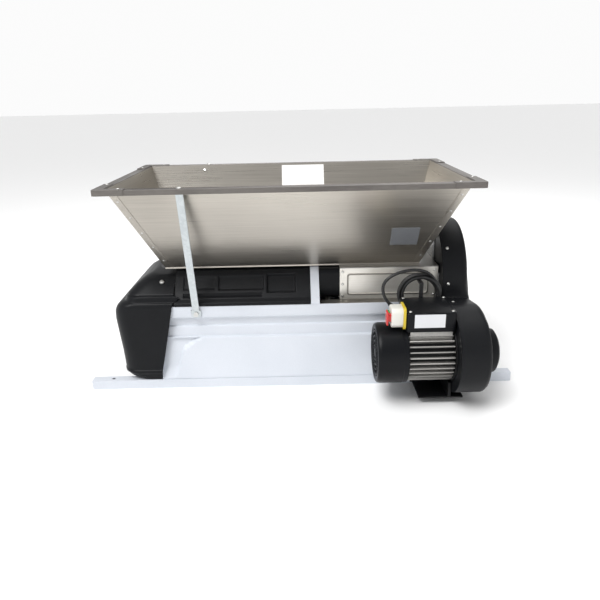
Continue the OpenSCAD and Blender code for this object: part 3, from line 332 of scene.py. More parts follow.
# A closed loop moved in by d, each point along the middle of its two edges' normals.
def insetLoop(loop, d):
    before, after = loop - np.roll(loop, 1, 0), np.roll(loop, -1, 0) - loop
    before /= np.linalg.norm(before, axis=1, keepdims=True)
    after /= np.linalg.norm(after, axis=1, keepdims=True)
    one, two = np.stack([-before[:, 1], before[:, 0]], 1), np.stack([-after[:, 1], after[:, 0]], 1)
    middle = one + two
    middle /= np.maximum(np.sum(middle * one, 1, keepdims=True), 0.4)
    turning = np.sum(loop[:, 0] * np.roll(loop[:, 1], -1) - np.roll(loop[:, 0], -1) * loop[:, 1])
    return loop + middle * (d if turning > 0 else -d)


# A block: the loop at each level of (height, inset), with both ends closed. Axis says where height points.
def blockOf(loop, levels, axis):
    rings = []
    for height, inset in levels:
        flat = insetLoop(loop, inset)
        level = np.full(len(flat), float(height))
        order = {"x": (level, flat[:, 0], flat[:, 1]), "y": (flat[:, 0], level, flat[:, 1]),
                 "z": (flat[:, 0], flat[:, 1], level)}[axis]
        rings.append(np.stack(order, axis=1))
    grid = np.stack(rings)
    count, size = grid.shape[:2]
    faces = gridFaces(count, size, closeV=True)
    faces += [list(range(size))[::-1], [(count - 1) * size + k for k in range(size)]]
    return grid.reshape(-1, 3), faces


# Levels of a block whose two end edges are rounded: a quarter circle of the given radius at each end.
def eased(start, end, first, last, steps=4):
    turn = np.linspace(0, math.pi / 2, steps + 1)
    way = 1 if end > start else -1
    levels = [(start + way * first * (1 - math.cos(a)), first * (1 - math.sin(a))) for a in turn]
    return levels + [(end - way * last * (1 - math.cos(a)), last * (1 - math.sin(a))) for a in turn[::-1]]


def roundedBox(u0, v0, u1, v1, radius, steps=6):
    return softCorners([(u0, v0), (u1, v0), (u1, v1), (u0, v1)], radius, steps, closed=True)


# A turned piece: each (x, radius) of the profile goes round the X axis through (y, z).
def turnedOf(profile, centre, closed=False, around=72):
    profile = np.asarray(profile, float)
    angle = np.linspace(0, 2 * math.pi, around, endpoint=False)
    x = np.repeat(profile[:, 0][:, None], around, 1)
    y = centre[0] + profile[:, 1][:, None] * np.cos(angle)
    z = centre[1] + profile[:, 1][:, None] * np.sin(angle)
    grid = np.stack([x, y, z], axis=2)
    faces = gridFaces(len(profile), around, closeU=closed, closeV=True)
    if not closed:
        for row in (0, len(profile) - 1):
            if profile[row, 1] > 0:
                faces.append([row * around + k for k in range(around)])
    return grid.reshape(-1, 3), faces


# A bar of square section or a round one along a straight line, closed at both ends.
def rodOf(start, end, radius, around=12):
    start, end = np.asarray(start, float), np.asarray(end, float)
    way = (end - start) / np.linalg.norm(end - start)
    side = np.cross(way, (0.3, 0.2, 1.0) if abs(way[2]) < 0.9 else (1.0, 0.0, 0.0))
    side /= np.linalg.norm(side)
    up = np.cross(way, side)
    angle = np.linspace(0, 2 * math.pi, around, endpoint=False)[:, None]
    ring = radius * (np.cos(angle) * side + np.sin(angle) * up)
    grid = np.stack([start + ring, end + ring])
    faces = gridFaces(2, around, closeV=True) + [list(range(around)), [around + k for k in range(around)]]
    return grid.reshape(-1, 3), faces


def mirroredY(part):
    points, faces = part
    return np.asarray(points) * np.array([1, -1, 1]), [face[::-1] for face in faces]


# Smooth 0 to 1 inside a rectangle in (a, b), rising over the width of its border.
def inside(a, b, a0, a1, b0, b1, border):
    near = np.minimum(np.minimum(a - a0, a1 - a), np.minimum(b - b0, b1 - b))
    t = np.clip(near / border, 0, 1)
    return t * t * (3 - 2 * t)


# Positions from start to end: coarse steps, and fine ones within reach of each break.
def steppedTo(start, end, breaks, coarse, fine, reach):
    places = list(np.linspace(start, end, max(2, int(abs(end - start) / coarse) + 1)))
    for at in breaks:
        places += list(np.arange(at - reach, at + reach + fine / 2, fine))
    places = np.unique(np.round([p for p in places if start <= p <= end] + [start, end], 3))
    return places[np.concatenate([[True], np.diff(places) > 0.3])]


# A carried CAD shape whose loose triangles are merged, with its sharp edges rounded a little. Faces whose
# middle passes the test get the other finish.
def easedNode(node, finish, width=0.5, body="machine", other=None, test=None):
    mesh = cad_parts[node].data.copy()
    work = bmesh.new()
    work.from_mesh(mesh)
    bmesh.ops.remove_doubles(work, verts=work.verts, dist=0.00001)
    bmesh.ops.dissolve_limit(work, angle_limit=math.radians(0.6), verts=work.verts, edges=work.edges)
    work.to_mesh(mesh)
    work.free()
    piece = linkPiece(node + "Skin", mesh, finish, body, [node], 32)
    if other:
        mesh.materials.append(finishes[other])
        middle = np.empty(len(mesh.polygons) * 3)
        mesh.polygons.foreach_get("center", middle)
        x, y, z = (middle.reshape(-1, 3) / mm - [0, midY / mm, 0]).T
        mesh.polygons.foreach_set("material_index", test(x, y, z).astype(np.int32))
    if width:
        edge = piece.modifiers.new("edges", "BEVEL")
        edge.width = width * mm
        edge.segments = 2
        edge.limit_method = "ANGLE"
        edge.angle_limit = math.radians(42)
        edge.harden_normals = True
    return piece


# ---- mains lead ----

lead = {
    "diameter": 8, "coil": (305, 250), "perTurn": 16,
    "up": [(224, -224, 240), (213, -224, 254), (207, -224, 268), (205, -223, 283), (209, -222, 297),
           (219, -221, 308), (233, -219, 316), (252, -214, 321), (273, -206, 322), (295, -197, 319),
           (315, -189, 312), (331, -185, 301), (342, -182, 287.5)],
    "down": [(297, -188, 201), (282, -189, 197), (270, -189, 195), (259, -188, 188), (252, -186, 176),
             (250, -185, 162), (249, -184, 140), (248, -184, 118), (248, -187, 96), (248, -193, 78),
             (251, -200, 63), (259, -206, 51), (271, -210, 43), (284, -212, 40), (298, -212, 40),
             (320, -212, 40)],
    # (radius, y) of each layer of turns, and where one layer passes into the next
    "layers": [(52, -181), (52, -173), (44, -173), (44, -181), (48, -187.9)],
}


# The coil: radius and y stay on one layer and slide to the next over the last 40 degrees of each turn.
def coilPoints():
    cx, cz = lead["coil"]
    turn = np.arange(25.0, -1530.1, -360 / lead["perTurn"])
    turn = np.append(turn[turn > -1522], -1530.0)
    starts = np.array([-260.0 - 360 * k for k in range(4)])
    share = np.clip((starts[None] - turn[:, None]) / 40, 0, 1)
    level = (share * share * (3 - 2 * share)).sum(1)
    radius = np.interp(level, range(5), [a for a, _ in lead["layers"]])
    y = np.interp(level, range(5), [b for _, b in lead["layers"]])
    radius = radius + np.interp(turn, [-15, 25], [0, 0.7])
    a = np.radians(turn)
    return np.stack([cx + radius * np.cos(a), y, cz + radius * np.sin(a)], axis=1)


def makeLead():
    points = framed(np.concatenate([lead["up"], coilPoints(), lead["down"]]))
    curve = bpy.data.curves.new("mainsLead", "CURVE")
    curve.dimensions = "3D"
    curve.bevel_depth = lead["diameter"] / 2 * mm
    curve.bevel_resolution = 4
    curve.resolution_u = 6
    curve.use_fill_caps = True
    spline = curve.splines.new("BEZIER")
    spline.bezier_points.add(len(points) - 1)
    spline.bezier_points.foreach_set("co", points.ravel())
    for knot in spline.bezier_points:
        knot.handle_left_type = "AUTO"
        knot.handle_right_type = "AUTO"
    curve.materials.append(finishes["leadRubber"])
    cable = bpy.data.objects.new("mainsLead", curve)
    bpy.context.scene.collection.objects.link(cable)
    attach(cable, "machine")
    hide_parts("mains_lead", "mains_coil")
    return cable, points[0], spline.calc_length(resolution=64)


plug = {"centre": (-212, 40), "relief": (296, 322), "body": (322, 346), "pinEnd": 360, "pinApart": 9.5,
        "pinRadius": 2.4}


# The plug: a ribbed taper, a waist and a round body, as one profile turned about the lead's end.
def makePlug():
    x0, x1 = plug["relief"]
    taper = np.linspace(x0, x1, 27)
    radius = np.interp(taper, [x0, x1], [5.4, 9.0]) + 0.55 * np.cos((taper - x0) / 4.0 * 2 * math.pi)
    b0, b1 = plug["body"]
    body = softCorners([(x1, 9.5), (b0 + 1, 13), (b0 + 6, 13), (b0 + 8, 18), (b1 - 2.5, 18), (b1, 15.5),
                        (b1, 0)], 1.6, 4)
    profile = np.concatenate([[(x0, 4.05)], np.stack([taper, radius], 1), body])
    pieces = newPiece("mainsPlugBody", [turnedOf(profile, plug["centre"], around=48)], "leadRubber",
                      stands=["mains_plug"])
    y, z = plug["centre"]
    pin = [(b1 - 1, plug["pinRadius"]), (plug["pinEnd"] - 1.5, plug["pinRadius"]),
           (plug["pinEnd"] - 0.4, 1.7),
           (plug["pinEnd"], 0.6), (plug["pinEnd"], 0)]
    pins = newPiece("mainsPlugPins",
                    [turnedOf(pin, (y + s * plug["pinApart"], z), around=20) for s in (-1, 1)],
                    "screwSteel")
    return [pieces, pins]


cable, leadExit, leadLength = makeLead()
plugPieces = makePlug()
gland = easedNode("cable_gland", "leadRubber", 0.4)
bpy.context.view_layer.update()
cableShown = cable.evaluated_get(bpy.context.evaluated_depsgraph_get())
print("mains lead made:", round(leadLength, 3), "m")


# ---- trough walls ----

wall = {
    "x": (-368, 366), "sheet": 2,
    # (y, z) from the foot up: pressed face, shelf, band, bead, recess, top strip
    "line": [(-162, 25), (-184, 25), (-168, 137), (-157.5, 137.5), (-155, 165), (-150, 167), (-150, 190),
             (-160, 190.5), (-160, 222)],
    "flat": 10.5,                      # how far the ground behind the pressed face lies further in
    "pressing": {"corner": (-270, 137), "cut": (-314, 109), "border": 7, "right": 340, "foot": 34},
}


# One wall: the outline goes along X, and the sheet lies further in left of the pressed face's slanting edge.
def makeWall(name, node, mirrored):
    line = softCorners(wall["line"], 2.2, 4)
    fine = [line[0]]
    for a, b in zip(line[:-1], line[1:]):
        count = max(1, int(np.linalg.norm(b - a) / 6))
        fine += [a + (b - a) * k / count for k in range(1, count + 1)]
    line = np.array(fine)
    press = wall["pressing"]
    x = steppedTo(*wall["x"], [press["corner"][0] - 20, press["right"]], 30, 3, 48)
    gx, gy = np.meshgrid(x, line[:, 0], indexing="ij")
    gz = np.meshgrid(x, line[:, 1], indexing="ij")[1]
    (cx, cz), (ux, uz) = press["corner"], press["cut"]
    length = math.hypot(cx - ux, cz - uz)
    slant = ((gx - ux) * (cz - uz) - (gz - uz) * (cx - ux)) / length     # distance right of the cut corner
    edge = gx - (ux - (uz - gz) * 0.30)                                  # distance right of the left edge
    near = np.minimum(np.minimum(slant, edge), press["right"] - gx)
    t = np.clip(near / press["border"], 0, 1)
    raised = t * t * (3 - 2 * t)
    below = np.clip((137.4 - gz) / 1.5, 0, 1) * np.clip((gz - 25) / press["foot"], 0, 1)
    gy = gy + wall["flat"] * (1 - raised) * below
    grid = np.stack([gx, gy, gz], axis=2)
    part = wallOf(grid, wall["sheet"], (0, 0, 100))
    newPiece(name, [mirroredY(part) if mirrored else part], "whitePaint", stands=[node], sharp=24)


makeWall("frontTroughWall", "front_side_panel", False)
makeWall("rearTroughWall", "rear_side_panel", True)
print("trough walls made")


# ---- chute over the stem outlet ----

chute = {
    # (z, half width, far end, corner radius) from the foot up to the ridge
    "rows": [(27, 184.5, -455, 58), (34, 186.5, -468, 52), (43, 187.0, -473, 48), (46, 189.2, -476, 48),
             (52, 188.6, -476.5, 48), (55, 185.8, -475, 46), (100, 178.5, -480, 46), (137, 172.5, -485, 44),
             (190, 168, -491, 44), (210, 166, -490, 44), (224, 164.5, -482, 42), (231, 161, -472, 40),
             (233.5, 156.5, -463, 38), (236, 155.5, -461, 38), (246, 152, -457, 38), (248, 148.4, -453, 38),
             (250, 149.6, -454.5, 38), (253, 148, -453, 38), (270, 126, -435, 38), (283, 107, -415, 38),
             (289.5, 90, -398, 38), (291, 45, -388, 38), (291.2, 0, -380, 0)],
    "reach": [0, 5, 1.5, 1.5, 1.5, 1.5, 6, 6, 8, 6, 6, 3, 1.5, 2, 1.2, 1.0, 1.0, 3, 6, 6, 8, 6, 0],
    # free edge: x at each height
    "edge": ((27, -373), (232, -330), (236, -322), (246, -313), (248, -328), (300, -328)),
    "thick": 2.6,
}


# Each row is a U seen from above: along the front, round a corner, across the far end, and back again.
def makeChute():
    rows = softCorners(chute["rows"], chute["reach"], 4)
    dense = [rows[0]]
    for a, b in zip(rows[:-1], rows[1:]):
        count = max(1, int(abs(b[0] - a[0]) / 16))
        dense += [a + (b - a) * k / count for k in range(1, count + 1)]
    rows = np.array(dense)
    heights, places = zip(*chute["edge"])
    straight = np.linspace(0, 1, 15)[:, None]
    corner = np.linspace(0, math.pi / 2, 13)[1:-1, None]
    across = np.linspace(0, 1, 17)[:, None]
    z, half, end = rows[:, 0], rows[:, 1], rows[:, 2]
    radius = np.minimum(rows[:, 3], half)
    free = np.interp(z, heights, places)
    sideX = free + (end + radius - free) * straight
    turnX = end + radius - radius * np.sin(corner)
    turnY = -half + radius - radius * np.cos(corner)
    acrossY = (-half + radius) + 2 * (half - radius) * across
    x = np.concatenate([sideX, turnX, end + 0 * across, turnX[::-1], sideX[::-1]])
    y = np.concatenate([-half + 0 * straight, turnY, acrossY, -turnY[::-1], half + 0 * straight])
    grid = np.stack([x, y, np.broadcast_to(z, x.shape)], axis=2)
    newPiece("stemChuteHood", [wallOf(grid, chute["thick"], (-330, 0, 120))], "blackPlastic",
             stands=["stem_chute_cover"], sharp=40)


makeChute()
print("chute made")


# ---- long cover over the drum ----

cover = {
    "x": (-327, 29), "thick": 3,
    "line": [(-161, 222), (-161, 229), (-149, 238), (-140, 250), (-104, 289), (-92, 298), (-60, 300),
             (0, 300)],
    # recesses: x from, x to, z from, z to, depth
    "recesses": [(-214, -93, 256, 287, 4.5), (-86, -9, 249, 290, 7.5), (-306, -220, 257, 286, 1.6),
                 (-305, -96, 240.5, 250.5, 4.0)],
    "border": 4,
}


# The outline goes along X, and each recess sinks it along its own normal.
def makeCover():
    half = softCorners(cover["line"], 3, 5)
    fine = [half[0]]
    for a, b in zip(half[:-1], half[1:]):
        count = max(1, int(np.linalg.norm(b - a) / 2.5)) if b[0] < -90 else 8
        fine += [a + (b - a) * k / count for k in range(1, count + 1)]
    half = np.array(fine)
    line = np.concatenate([half, (half * [-1, 1])[-2::-1]])
    breaks = [edge for r in cover["recesses"] for edge in r[:2]]
    x = steppedTo(*cover["x"], breaks, 24, 1.4, 6)
    gx, gy = np.meshgrid(x, line[:, 0], indexing="ij")
    gz = np.meshgrid(x, line[:, 1], indexing="ij")[1]
    depth = np.zeros_like(gx)
    for x0, x1, z0, z1, deep in cover["recesses"]:
        depth = np.maximum(depth, deep * inside(gx, gz, x0, x1, z0, z1, cover["border"]))
    grid = pushedIn(np.stack([gx, gy, gz], axis=2), depth, (-150, 0, 200))
    newPiece("drumTopHood", [wallOf(grid, cover["thick"], (-150, 0, 200))], "blackPlastic",
             stands=["drum_top_cover"], sharp=40)


makeCover()
print("drum cover made")


# ---- belt guard ----

guard = {
    "back": 373, "face": 444, "edge": 12, "top": (0, 255, 150), "nose": (-265, 130, 102),
    "rear": (0, 135, 107),
    "shoulder": [(-152, 227), (-250, 244.5)],
    # (distance outside the face, radius) of the boss on the nose, and how far each corner is softened
    "boss": [(-2, 97), (-0.5, 93), (8, 60), (9, 54.5), (28, 54), (30, 48), (30.5, 46), (33, 45), (34, 40),
             (33, 30), (33, 0)],
    "bossSoft": [0, 2, 2, 1, 3, 1, 0.5, 1.5, 2, 3, 0],
    # the upper part lies further back, rising from the first height to the second
    "setBack": 8, "from": (222, 262),
}


def arcOf(centre, start, end, count):
    a = np.radians(np.linspace(start, end, count))
    return np.stack([centre[0] + centre[2] * np.cos(a), centre[1] + centre[2] * np.sin(a)], axis=1)


# The outline: a round top, a straight shoulder, a round nose at the motor and a round rear foot.
def guardLoop():
    shoulder = np.array(guard["shoulder"], float)
    nose = arcOf(guard["nose"], 112, 262, 26)
    corner = softCorners([arcOf(guard["top"], 150, 186, 2)[1], shoulder[0], shoulder[1], nose[0]],
                         [0, 14, 40, 0], 8)
    foot = [(-200, 28), (-130, 28), (-60, 28)]
    rear = arcOf(guard["rear"], 276, 350, 14)
    return np.concatenate([arcOf(guard["top"], -2, 184, 34), corner[1:-1], nose, foot, rear])


def makeGuard():
    loop = guardLoop()
    turn = np.linspace(0, math.pi / 2, 9)
    r = guard["edge"]
    outer = [(guard["back"], 0), (guard["back"] + 4, 0), (guard["face"] - r - 12, 0)]
    outer += [(guard["face"] - r + r * math.sin(a), r * (1 - math.cos(a))) for a in turn]
    inner = [(h - 3 if h > guard["back"] + 5 else h, inset + 3) for h, inset in outer[::-1]]
    grid, faces = blockOf(loop, outer + inner, "x")
    low, high = guard["from"]
    t = np.clip((grid[:, 2] - low) / (high - low), 0, 1)
    reach = np.clip((grid[:, 0] - guard["back"] - 5) / (guard["face"] - guard["back"] - 5), 0, 1)
    grid[:, 0] -= guard["setBack"] * t * t * (3 - 2 * t) * reach
    size, rings = len(loop), len(outer) + len(inner)
    # the face and its inner side are closed, the open back joins the outer and inner rings
    count = len(outer)
    walls = gridFaces(rings, size, closeV=True)
    walls = [f for f in walls if not (min(f) >= (count - 1) * size and max(f) < (count + 1) * size)]
    caps = [[(count - 1) * size + k for k in range(size)], [count * size + k for k in range(size)]]
    rim = [[k, (k + 1) % size, (rings - 1) * size + (k + 1) % size,
            (rings - 1) * size + k] for k in range(size)]
    newPiece("beltGuardShell", [(grid, walls + caps + rim)], "blackPlastic", stands=["guard_cover"],
             sharp=40)
    boss = softCorners([(guard["face"] + x, radius) for x, radius in guard["boss"]], guard["bossSoft"], 5)
    newPiece("beltGuardBoss", [turnedOf(boss, guard["nose"][:2], around=96)], "blackPlastic", sharp=50)


makeGuard()
print("belt guard made")


# ---- motor ----

motor = {"axis": (-265, 130), "cowl": (182, 256), "radius": 75, "thick": 2, "rings": (18, 30, 42, 54),
         "spokes": 12}


# The cowl: one closed profile turned about the shaft, and a grille of round rings and spokes in its end.
def makeCowl():
    x0, x1 = motor["cowl"]
    r = motor["radius"]
    outer = softCorners([(x0 + 1.5, 60), (x0, 66), (x0 + 1, r - 3), (x0 + 8, r), (x1 - 12, r),
                         (x1 - 11, r - 1), (x1, r - 1)],
                        [0, 2, 4, 6, 1, 1, 0], 5)
    inner = np.stack([outer[:, 0] + np.where(outer[:, 0] < x0 + 6, motor["thick"], 0),
                      outer[:, 1] - motor["thick"]], 1)
    ring = np.concatenate([outer, inner[::-1]])
    parts = [turnedOf(ring, motor["axis"], closed=True, around=96)]
    a = np.linspace(0, 2 * math.pi, 13)[:-1]
    for radius in motor["rings"]:
        tube = np.stack([x0 + 2.6 + 1.8 * np.cos(a), radius + 1.8 * np.sin(a)], 1)
        parts.append(turnedOf(tube, motor["axis"], closed=True, around=72))
    y, z = motor["axis"]
    for k in range(motor["spokes"]):
        way = np.array([0, math.cos(k * 2 * math.pi / motor["spokes"]),
                        math.sin(k * 2 * math.pi / motor["spokes"])])
        centre = np.array([x0 + 3.4, y, z])
        parts.append(rodOf(centre + way * 12, centre + way * 62, 1.6, 8))
    hub = [(x0 + 1.4, 0), (x0 + 1.4, 10), (x0 + 2.6, 13), (x0 + 5.5, 13), (x0 + 5.5, 0)]
    parts.append(turnedOf(hub, motor["axis"], around=48))
    newPiece("motorFanCowl", parts, "boxPlastic", stands=["fan_cowl"])


box = {"x": (250, 368), "y": (-310, -200), "z": (200, 250), "lid": 38, "over": 1.5, "corner": 9}


# The terminal box: a body and a wider, deep lid with rounded corners, and a step in the lid's top edge.
def makeTerminalBox():
    (x0, x1), (y0, y1), (z0, z1) = box["x"], box["y"], box["z"]
    over, split = box["over"], z1 - box["lid"]
    body = roundedBox(x0, y0, x1, y1, box["corner"])
    lid = roundedBox(x0 - over, y0 - over, x1, y1 + over, box["corner"] + 1.5)
    levels = eased(split, z1 - 1.2, 0.8, 3.0) + [(z1 - 0.5, 5), (z1, 6.5)]
    parts = [blockOf(body, eased(z0, split + 2, 3, 0.5), "z"), blockOf(lid, levels, "z")]
    newPiece("terminalBoxCase", parts, "boxPlastic", stands=["terminal_box"], sharp=30)


makeCowl()
makeTerminalBox()
print("motor covers made")


# ---- switch ----

switch = {"centre": (-283, 234), "base": (242.5, 248.5), "case": (214.5, 242.5), "half": 27, "cut": 8}


# An eight-sided block with soft corners: y and z half sizes, with the corners cut off.
def eightSided(half, cut, reach):
    y, z = switch["centre"]
    corners = [(-half, -half + cut), (-half + cut, -half), (half - cut, -half), (half, -half + cut),
               (half, half - cut), (half - cut, half), (-half + cut, half), (-half, half - cut)]
    return softCorners(np.array(corners) + [y, z], reach, 4, closed=True)


def makeSwitch():
    half = switch["half"]
    newPiece("switchBackPlate", [blockOf(eightSided(half, 5, 2.5), eased(*switch["base"], 1.5, 1.0), "x")],
             "switchYellow", stands=["switch_base"])
    x0, x1 = switch["case"]
    y, z = switch["centre"]
    case = blockOf(eightSided(half - 3, switch["cut"], 3), eased(x0, x1, 4.0, 0.6), "x")
    newPiece("switchCase", [case], "switchIvory", stands=["switch_housing"])
    flap = roundedBox(y - 23, z - 17, y + 1, z + 17, 4)
    stop = blockOf(roundedBox(y - 18, z - 9, y - 2, z + 9, 3), eased(207, 228, 1.5, 0.5), "x")
    newPiece("stopFlapCap", [blockOf(flap, eased(203.5, 207.5, 1.6, 1.0), "x"), stop], "buttonRed",
             body="stop_flap", stands=["stop_button"])
    key = blockOf(roundedBox(y + 2, z - 9, y + 18, z + 9, 3), eased(207.5, 228, 2.0, 0.5), "x")
    newPiece("startKeyCap", [key], "buttonGreen", body="start_key", stands=["start_button"])


makeSwitch()
print("switch made")


# ---- hopper ----

hopper = {"shift": -17.5, "low": (339, 87, 308), "high": (426, 226, 538), "strip": 18, "thick": 0.9}


# A flat strip laid on the outside of a long wall beside the slanting corner.
def makeSeams():
    lowX, lowY0, lowZ = hopper["low"]
    highX, highY0, highZ = hopper["high"]
    parts = []
    out = np.array([0, -(highZ - lowZ), -(highY0 - lowY0)], float)
    out /= np.linalg.norm(out)
    t = np.linspace(0.015, 0.965, 14)[:, None]
    v = np.array([0.0, 0.35, 0.65, 1.0])[None]
    lift = np.array([0.0, 1.0, 1.0, 0.0])[None] * 0.25
    for sideX in (-1, 1):
        edge = lowX + (highX - lowX) * t - 0.6
        x = hopper["shift"] + sideX * (edge - hopper["strip"] * v)
        y = -(lowY0 + (highY0 - lowY0) * t) + 0 * v
        z = lowZ + (highZ - lowZ) * t + 0 * v
        sheet = np.stack([x + 0 * y, y, z], axis=2)
        grid = sheet + out * (hopper["thick"] + lift[..., None])
        part = wallOf(grid, hopper["thick"] - 0.1, (0, 500, 900))
        parts += [part, mirroredY(part)]
    newPiece("hopperSeamStrips", parts, "stainlessShort")


makeSeams()
print("hopper seams made")


# ---- auger and rollers ----

auger = {"x": (-344.5, 309.5), "z": 368, "radius": 54, "shaft": 11, "pitch": 100, "thick": 2.4}


# The flight: every radius turns once for each pitch along X, and the rim is thinner than the root.
def makeFlight():
    x0, x1 = auger["x"]
    turns = (x1 - x0) / auger["pitch"]
    along = np.linspace(0, 1, int(turns * 48) + 1)[:, None]
    radius = np.array([auger["shaft"] + 0.1, 20, 32, 44, auger["radius"] - 0.6, auger["radius"]])[None]
    thick = np.interp(radius, [auger["shaft"], auger["radius"] - 0.6, auger["radius"]],
                      [auger["thick"], 1.8, 0.8]) / 2
    angle = along * turns * 2 * math.pi
    sheets = []
    for way in (-1, 1):
        x = x0 + 1.5 + (x1 - x0 - 3) * along + way * thick
        sheets.append(np.stack([x + 0 * radius, radius * np.cos(angle),
                                auger["z"] + radius * np.sin(angle)], axis=2))
    closed = np.concatenate([sheets[0], sheets[1][:, ::-1]], axis=1)
    nu, nv = closed.shape[:2]
    faces = gridFaces(nu, nv, closeV=True) + [list(range(nv)), [(nu - 1) * nv + k for k in range(nv)]]
    newPiece("augerFlightSteel", [(closed.reshape(-1, 3), faces)], "paddleSteel", body="feed_auger",
             stands=["auger_flight"], sharp=50)


roller = {"x": (113, 356), "y": 36, "z": 264.07, "radius": 33.5, "lobe": 4, "lobes": 6, "bore": 9}


# A roller: its radius swings by the lobe height six times round, and both ends are chamfered.
def makeRoller(name, node, body, side, phase):
    a = np.linspace(0, 2 * math.pi, 120, endpoint=False)
    r = roller["radius"] + roller["lobe"] * np.cos(roller["lobes"] * a + phase)
    x0, x1 = roller["x"]
    rows = []
    for x, less in ((x0, 1.2), (x0 + 1.2, 0), (x1 - 1.2, 0), (x1, 1.2)):
        rows.append(np.stack([0 * a + x, side * roller["y"] + (r - less) * np.cos(a),
                              roller["z"] + (r - less) * np.sin(a)], 1))
    for x in (x1, x0):
        rows.append(np.stack([0 * a + x, side * roller["y"] + (roller["bore"] + 0.02) * np.cos(a),
                              roller["z"] + (roller["bore"] + 0.02) * np.sin(a)], 1))
    grid = np.stack(rows)
    newPiece(name, [(grid.reshape(-1, 3), gridFaces(len(rows), len(a), closeU=True, closeV=True))],
             "rollerAlloy",
             body=body, stands=[node])


makeFlight()
makeRoller("frontRollerLobes", "front_roller", "front_crusher_roller", -1, 0)
makeRoller("rearRollerLobes", "rear_roller", "rear_crusher_roller", 1, math.pi)
print("auger and rollers made")


# ---- carried CAD pieces ----

# sheet and cast pieces whose edges are rounded a little: node, finish, edge width
easedNodes = [
    ("rails", "whitePaint", 1.2), ("stem_end_plate", "whitePaint", 0.4),
    ("drive_end_plate", "bearingSteel", 0.5), ("trough_bridges", "whitePaint", 0.6),
    ("roller_bearing_cover", "boxPlastic", 1.2), ("roller_box_inner_plate", "drumSteel", 0.4),
    ("roller_box_covers", "coverPlate", 0.5), ("roller_box_top", "drumSteel", 0.4),
    ("hopper_floor_pan", "stainlessLong", 0.3), ("hopper_front_wall", "stainlessLong", 0.4),
    ("hopper_rear_wall", "stainlessLong", 0.4), ("hopper_left_wall", "stainlessShort", 0.4),
    ("hopper_right_wall", "stainlessShort", 0.4), ("hopper_corner_plates", "rimSteelPaintedShade", 0.4),
    ("hopper_struts", "galvanised", 0.6), ("guard_back_plate", "boxPlastic", 0.6),
    ("motor_bracket", "blackPaintAndFinGapShade", 0.6), ("motor_stator", "castAlloy", 0.4),
    ("motor_end_shields", "blackPaintAndFinGapShade", 0.8), ("hook_and_tie", "leadRubber", 0.4),
    ("rail_end_plugs", "greyPlug", 0.6), ("hopper_fasteners", "screwSteel", 0.25),
    ("panel_screws", "screwSteel", 0.25), ("blank_plates", "labelWhite", 0.15),
]
# the other finish of a piece, and the test of a face's middle that gives it
secondFinish = {
    # the rim faces get the darkened steel, a painted shade of the rolled lip
    "hopper_front_wall": ("rimSteelPaintedShade", lambda x, y, z: z > 525.5),
    "hopper_rear_wall": ("rimSteelPaintedShade", lambda x, y, z: z > 525.5),
    "hopper_left_wall": ("rimSteelPaintedShade", lambda x, y, z: z > 525.5),
    "hopper_right_wall": ("rimSteelPaintedShade", lambda x, y, z: z > 525.5),
    # the bead faces get the darker finish, a painted shade standing in for the shadowed groove
    "roller_box_covers": ("coverBeadPaintedShade", lambda x, y, z: np.abs(y) > 115.2),
    # the stator's faces between the fins get the black finish, a painted shade in the gaps between fins
    "motor_stator": ("blackPaintAndFinGapShade", lambda x, y, z: np.hypot(y + 265, z - 130) < 59.5),
    "blank_plates": ("plateAlloy", lambda x, y, z: z > 300),
}
for node, finish, width in easedNodes:
    other, test = secondFinish.get(node, (None, None))
    easedNode(node, finish, width, other=other, test=test)

# pieces shown as they are
plainNodes = {
    "perforated_drum": "drumSteel", "shaft_bearings": "bearingSteel", "hopper_sticker": "stickerWhite",
    "beater_shaft": "turnedSteel", "beater_paddles": "paddleSteel", "large_pulley": "castAlloy",
    "beater_pinion": "gearSteel", "front_roller_shaft": "turnedSteel", "front_roller_gears": "gearSteel",
    "rear_roller_shaft": "turnedSteel", "rear_roller_gear": "gearSteel", "auger_shaft": "turnedSteel",
    "auger_sprocket": "gearSteel", "motor_rotor": "turnedSteel", "motor_fan": "boxPlastic",
    "motor_pulley": "castAlloy", "drive_belt": "beltRubber", "auger_chain": "gearSteel",
}
for node, finish in plainNodes.items():
    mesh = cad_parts[node].data
    mesh.materials.clear()
    mesh.materials.append(finishes[finish])
print("CAD pieces finished")


# ---- studio ----

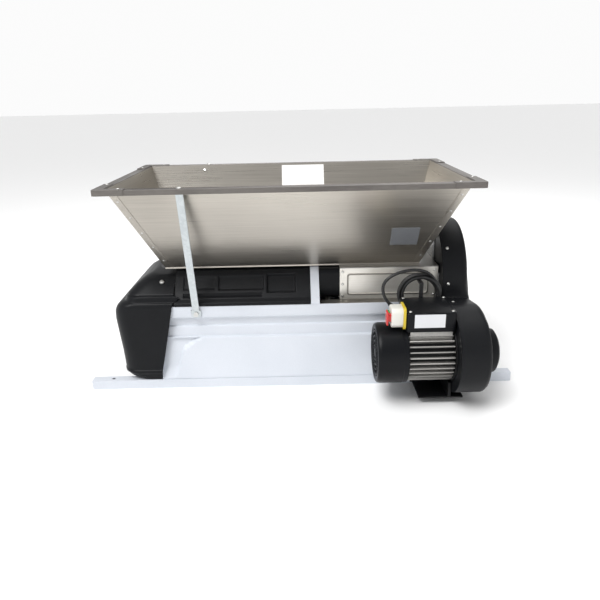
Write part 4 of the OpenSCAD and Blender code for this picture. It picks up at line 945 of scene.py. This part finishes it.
studio = {
    "floor": 60.0, "floorTone": (0.93, 0.93, 0.93),
    # the world's strength by the height of the direction: level up to the first, then falling to the second
    "heights": (0.17, 0.36), "strengths": (0.97, 0.3),
    "sun": {"from": (-0.55, -0.5, 1.5), "strength": 2.1, "angle": 34},
    # name, place in metres, size, watts
    "lights": [("keySoftbox", (-1.5, -1.3, 2.6), 1.6, 26), ("fillSoftbox", (2.4, -1.6, 1.5), 1.6, 5),
               ("backSoftbox", (0.6, 1.9, 2.2), 1.8, 12),
               ("overheadSoftbox", (0.1, 0.5, 2.6), 2.4, 30)],
}


def makeStudio():
    half = studio["floor"] / 2
    mesh = bpy.data.meshes.new("studioFloor")
    mesh.from_pydata([(-half, -half, 0), (half, -half, 0), (half, half, 0), (-half, half, 0)], [],
                     [[0, 1, 2, 3]])
    floor = bpy.data.objects.new("studioFloor", mesh)
    bpy.context.scene.collection.objects.link(floor)
    paper = bpy.data.materials.new("floorPaper")
    paper.use_nodes = True
    shader = paper.node_tree.nodes["Principled BSDF"]
    shader.inputs["Base Color"].default_value = (*studio["floorTone"], 1)
    shader.inputs["Roughness"].default_value = 0.9
    mesh.materials.append(paper)
    world = bpy.data.worlds.new("studioWorld")
    world.use_nodes = True
    tree = world.node_tree
    parts = addNode(tree, "ShaderNodeSeparateXYZ")
    tree.links.new(addNode(tree, "ShaderNodeTexCoord").outputs["Generated"], parts.inputs[0])
    strength = span(tree, parts.outputs[2], *studio["heights"], *studio["strengths"])
    tree.nodes["Background"].inputs[0].default_value = (1, 1, 1, 1)
    tree.links.new(strength, tree.nodes["Background"].inputs[1])
    bpy.context.scene.world = world
    sun = bpy.data.lights.new("softSun", "SUN")
    sun.energy = studio["sun"]["strength"]
    sun.angle = math.radians(studio["sun"]["angle"])
    lamps = [(sun, studio["sun"]["from"])]
    for name, place, size, watts in studio["lights"]:
        lamp = bpy.data.lights.new(name, "AREA")
        lamp.shape = "SQUARE"
        lamp.size = size
        lamp.energy = watts
        lamps.append((lamp, place))
    for lamp, place in lamps:
        holder = bpy.data.objects.new(lamp.name, lamp)
        bpy.context.scene.collection.objects.link(holder)
        way = framed((0, 0, 250)) - np.array(place)
        turned = Vector(way).to_track_quat("-Z", "Y").to_matrix().to_4x4()
        holder.matrix_world = Matrix.Translation(place) @ turned


makeStudio()
bpy.context.scene.view_settings.view_transform = "Standard"
print("studio made")

bpy.context.view_layer.update()
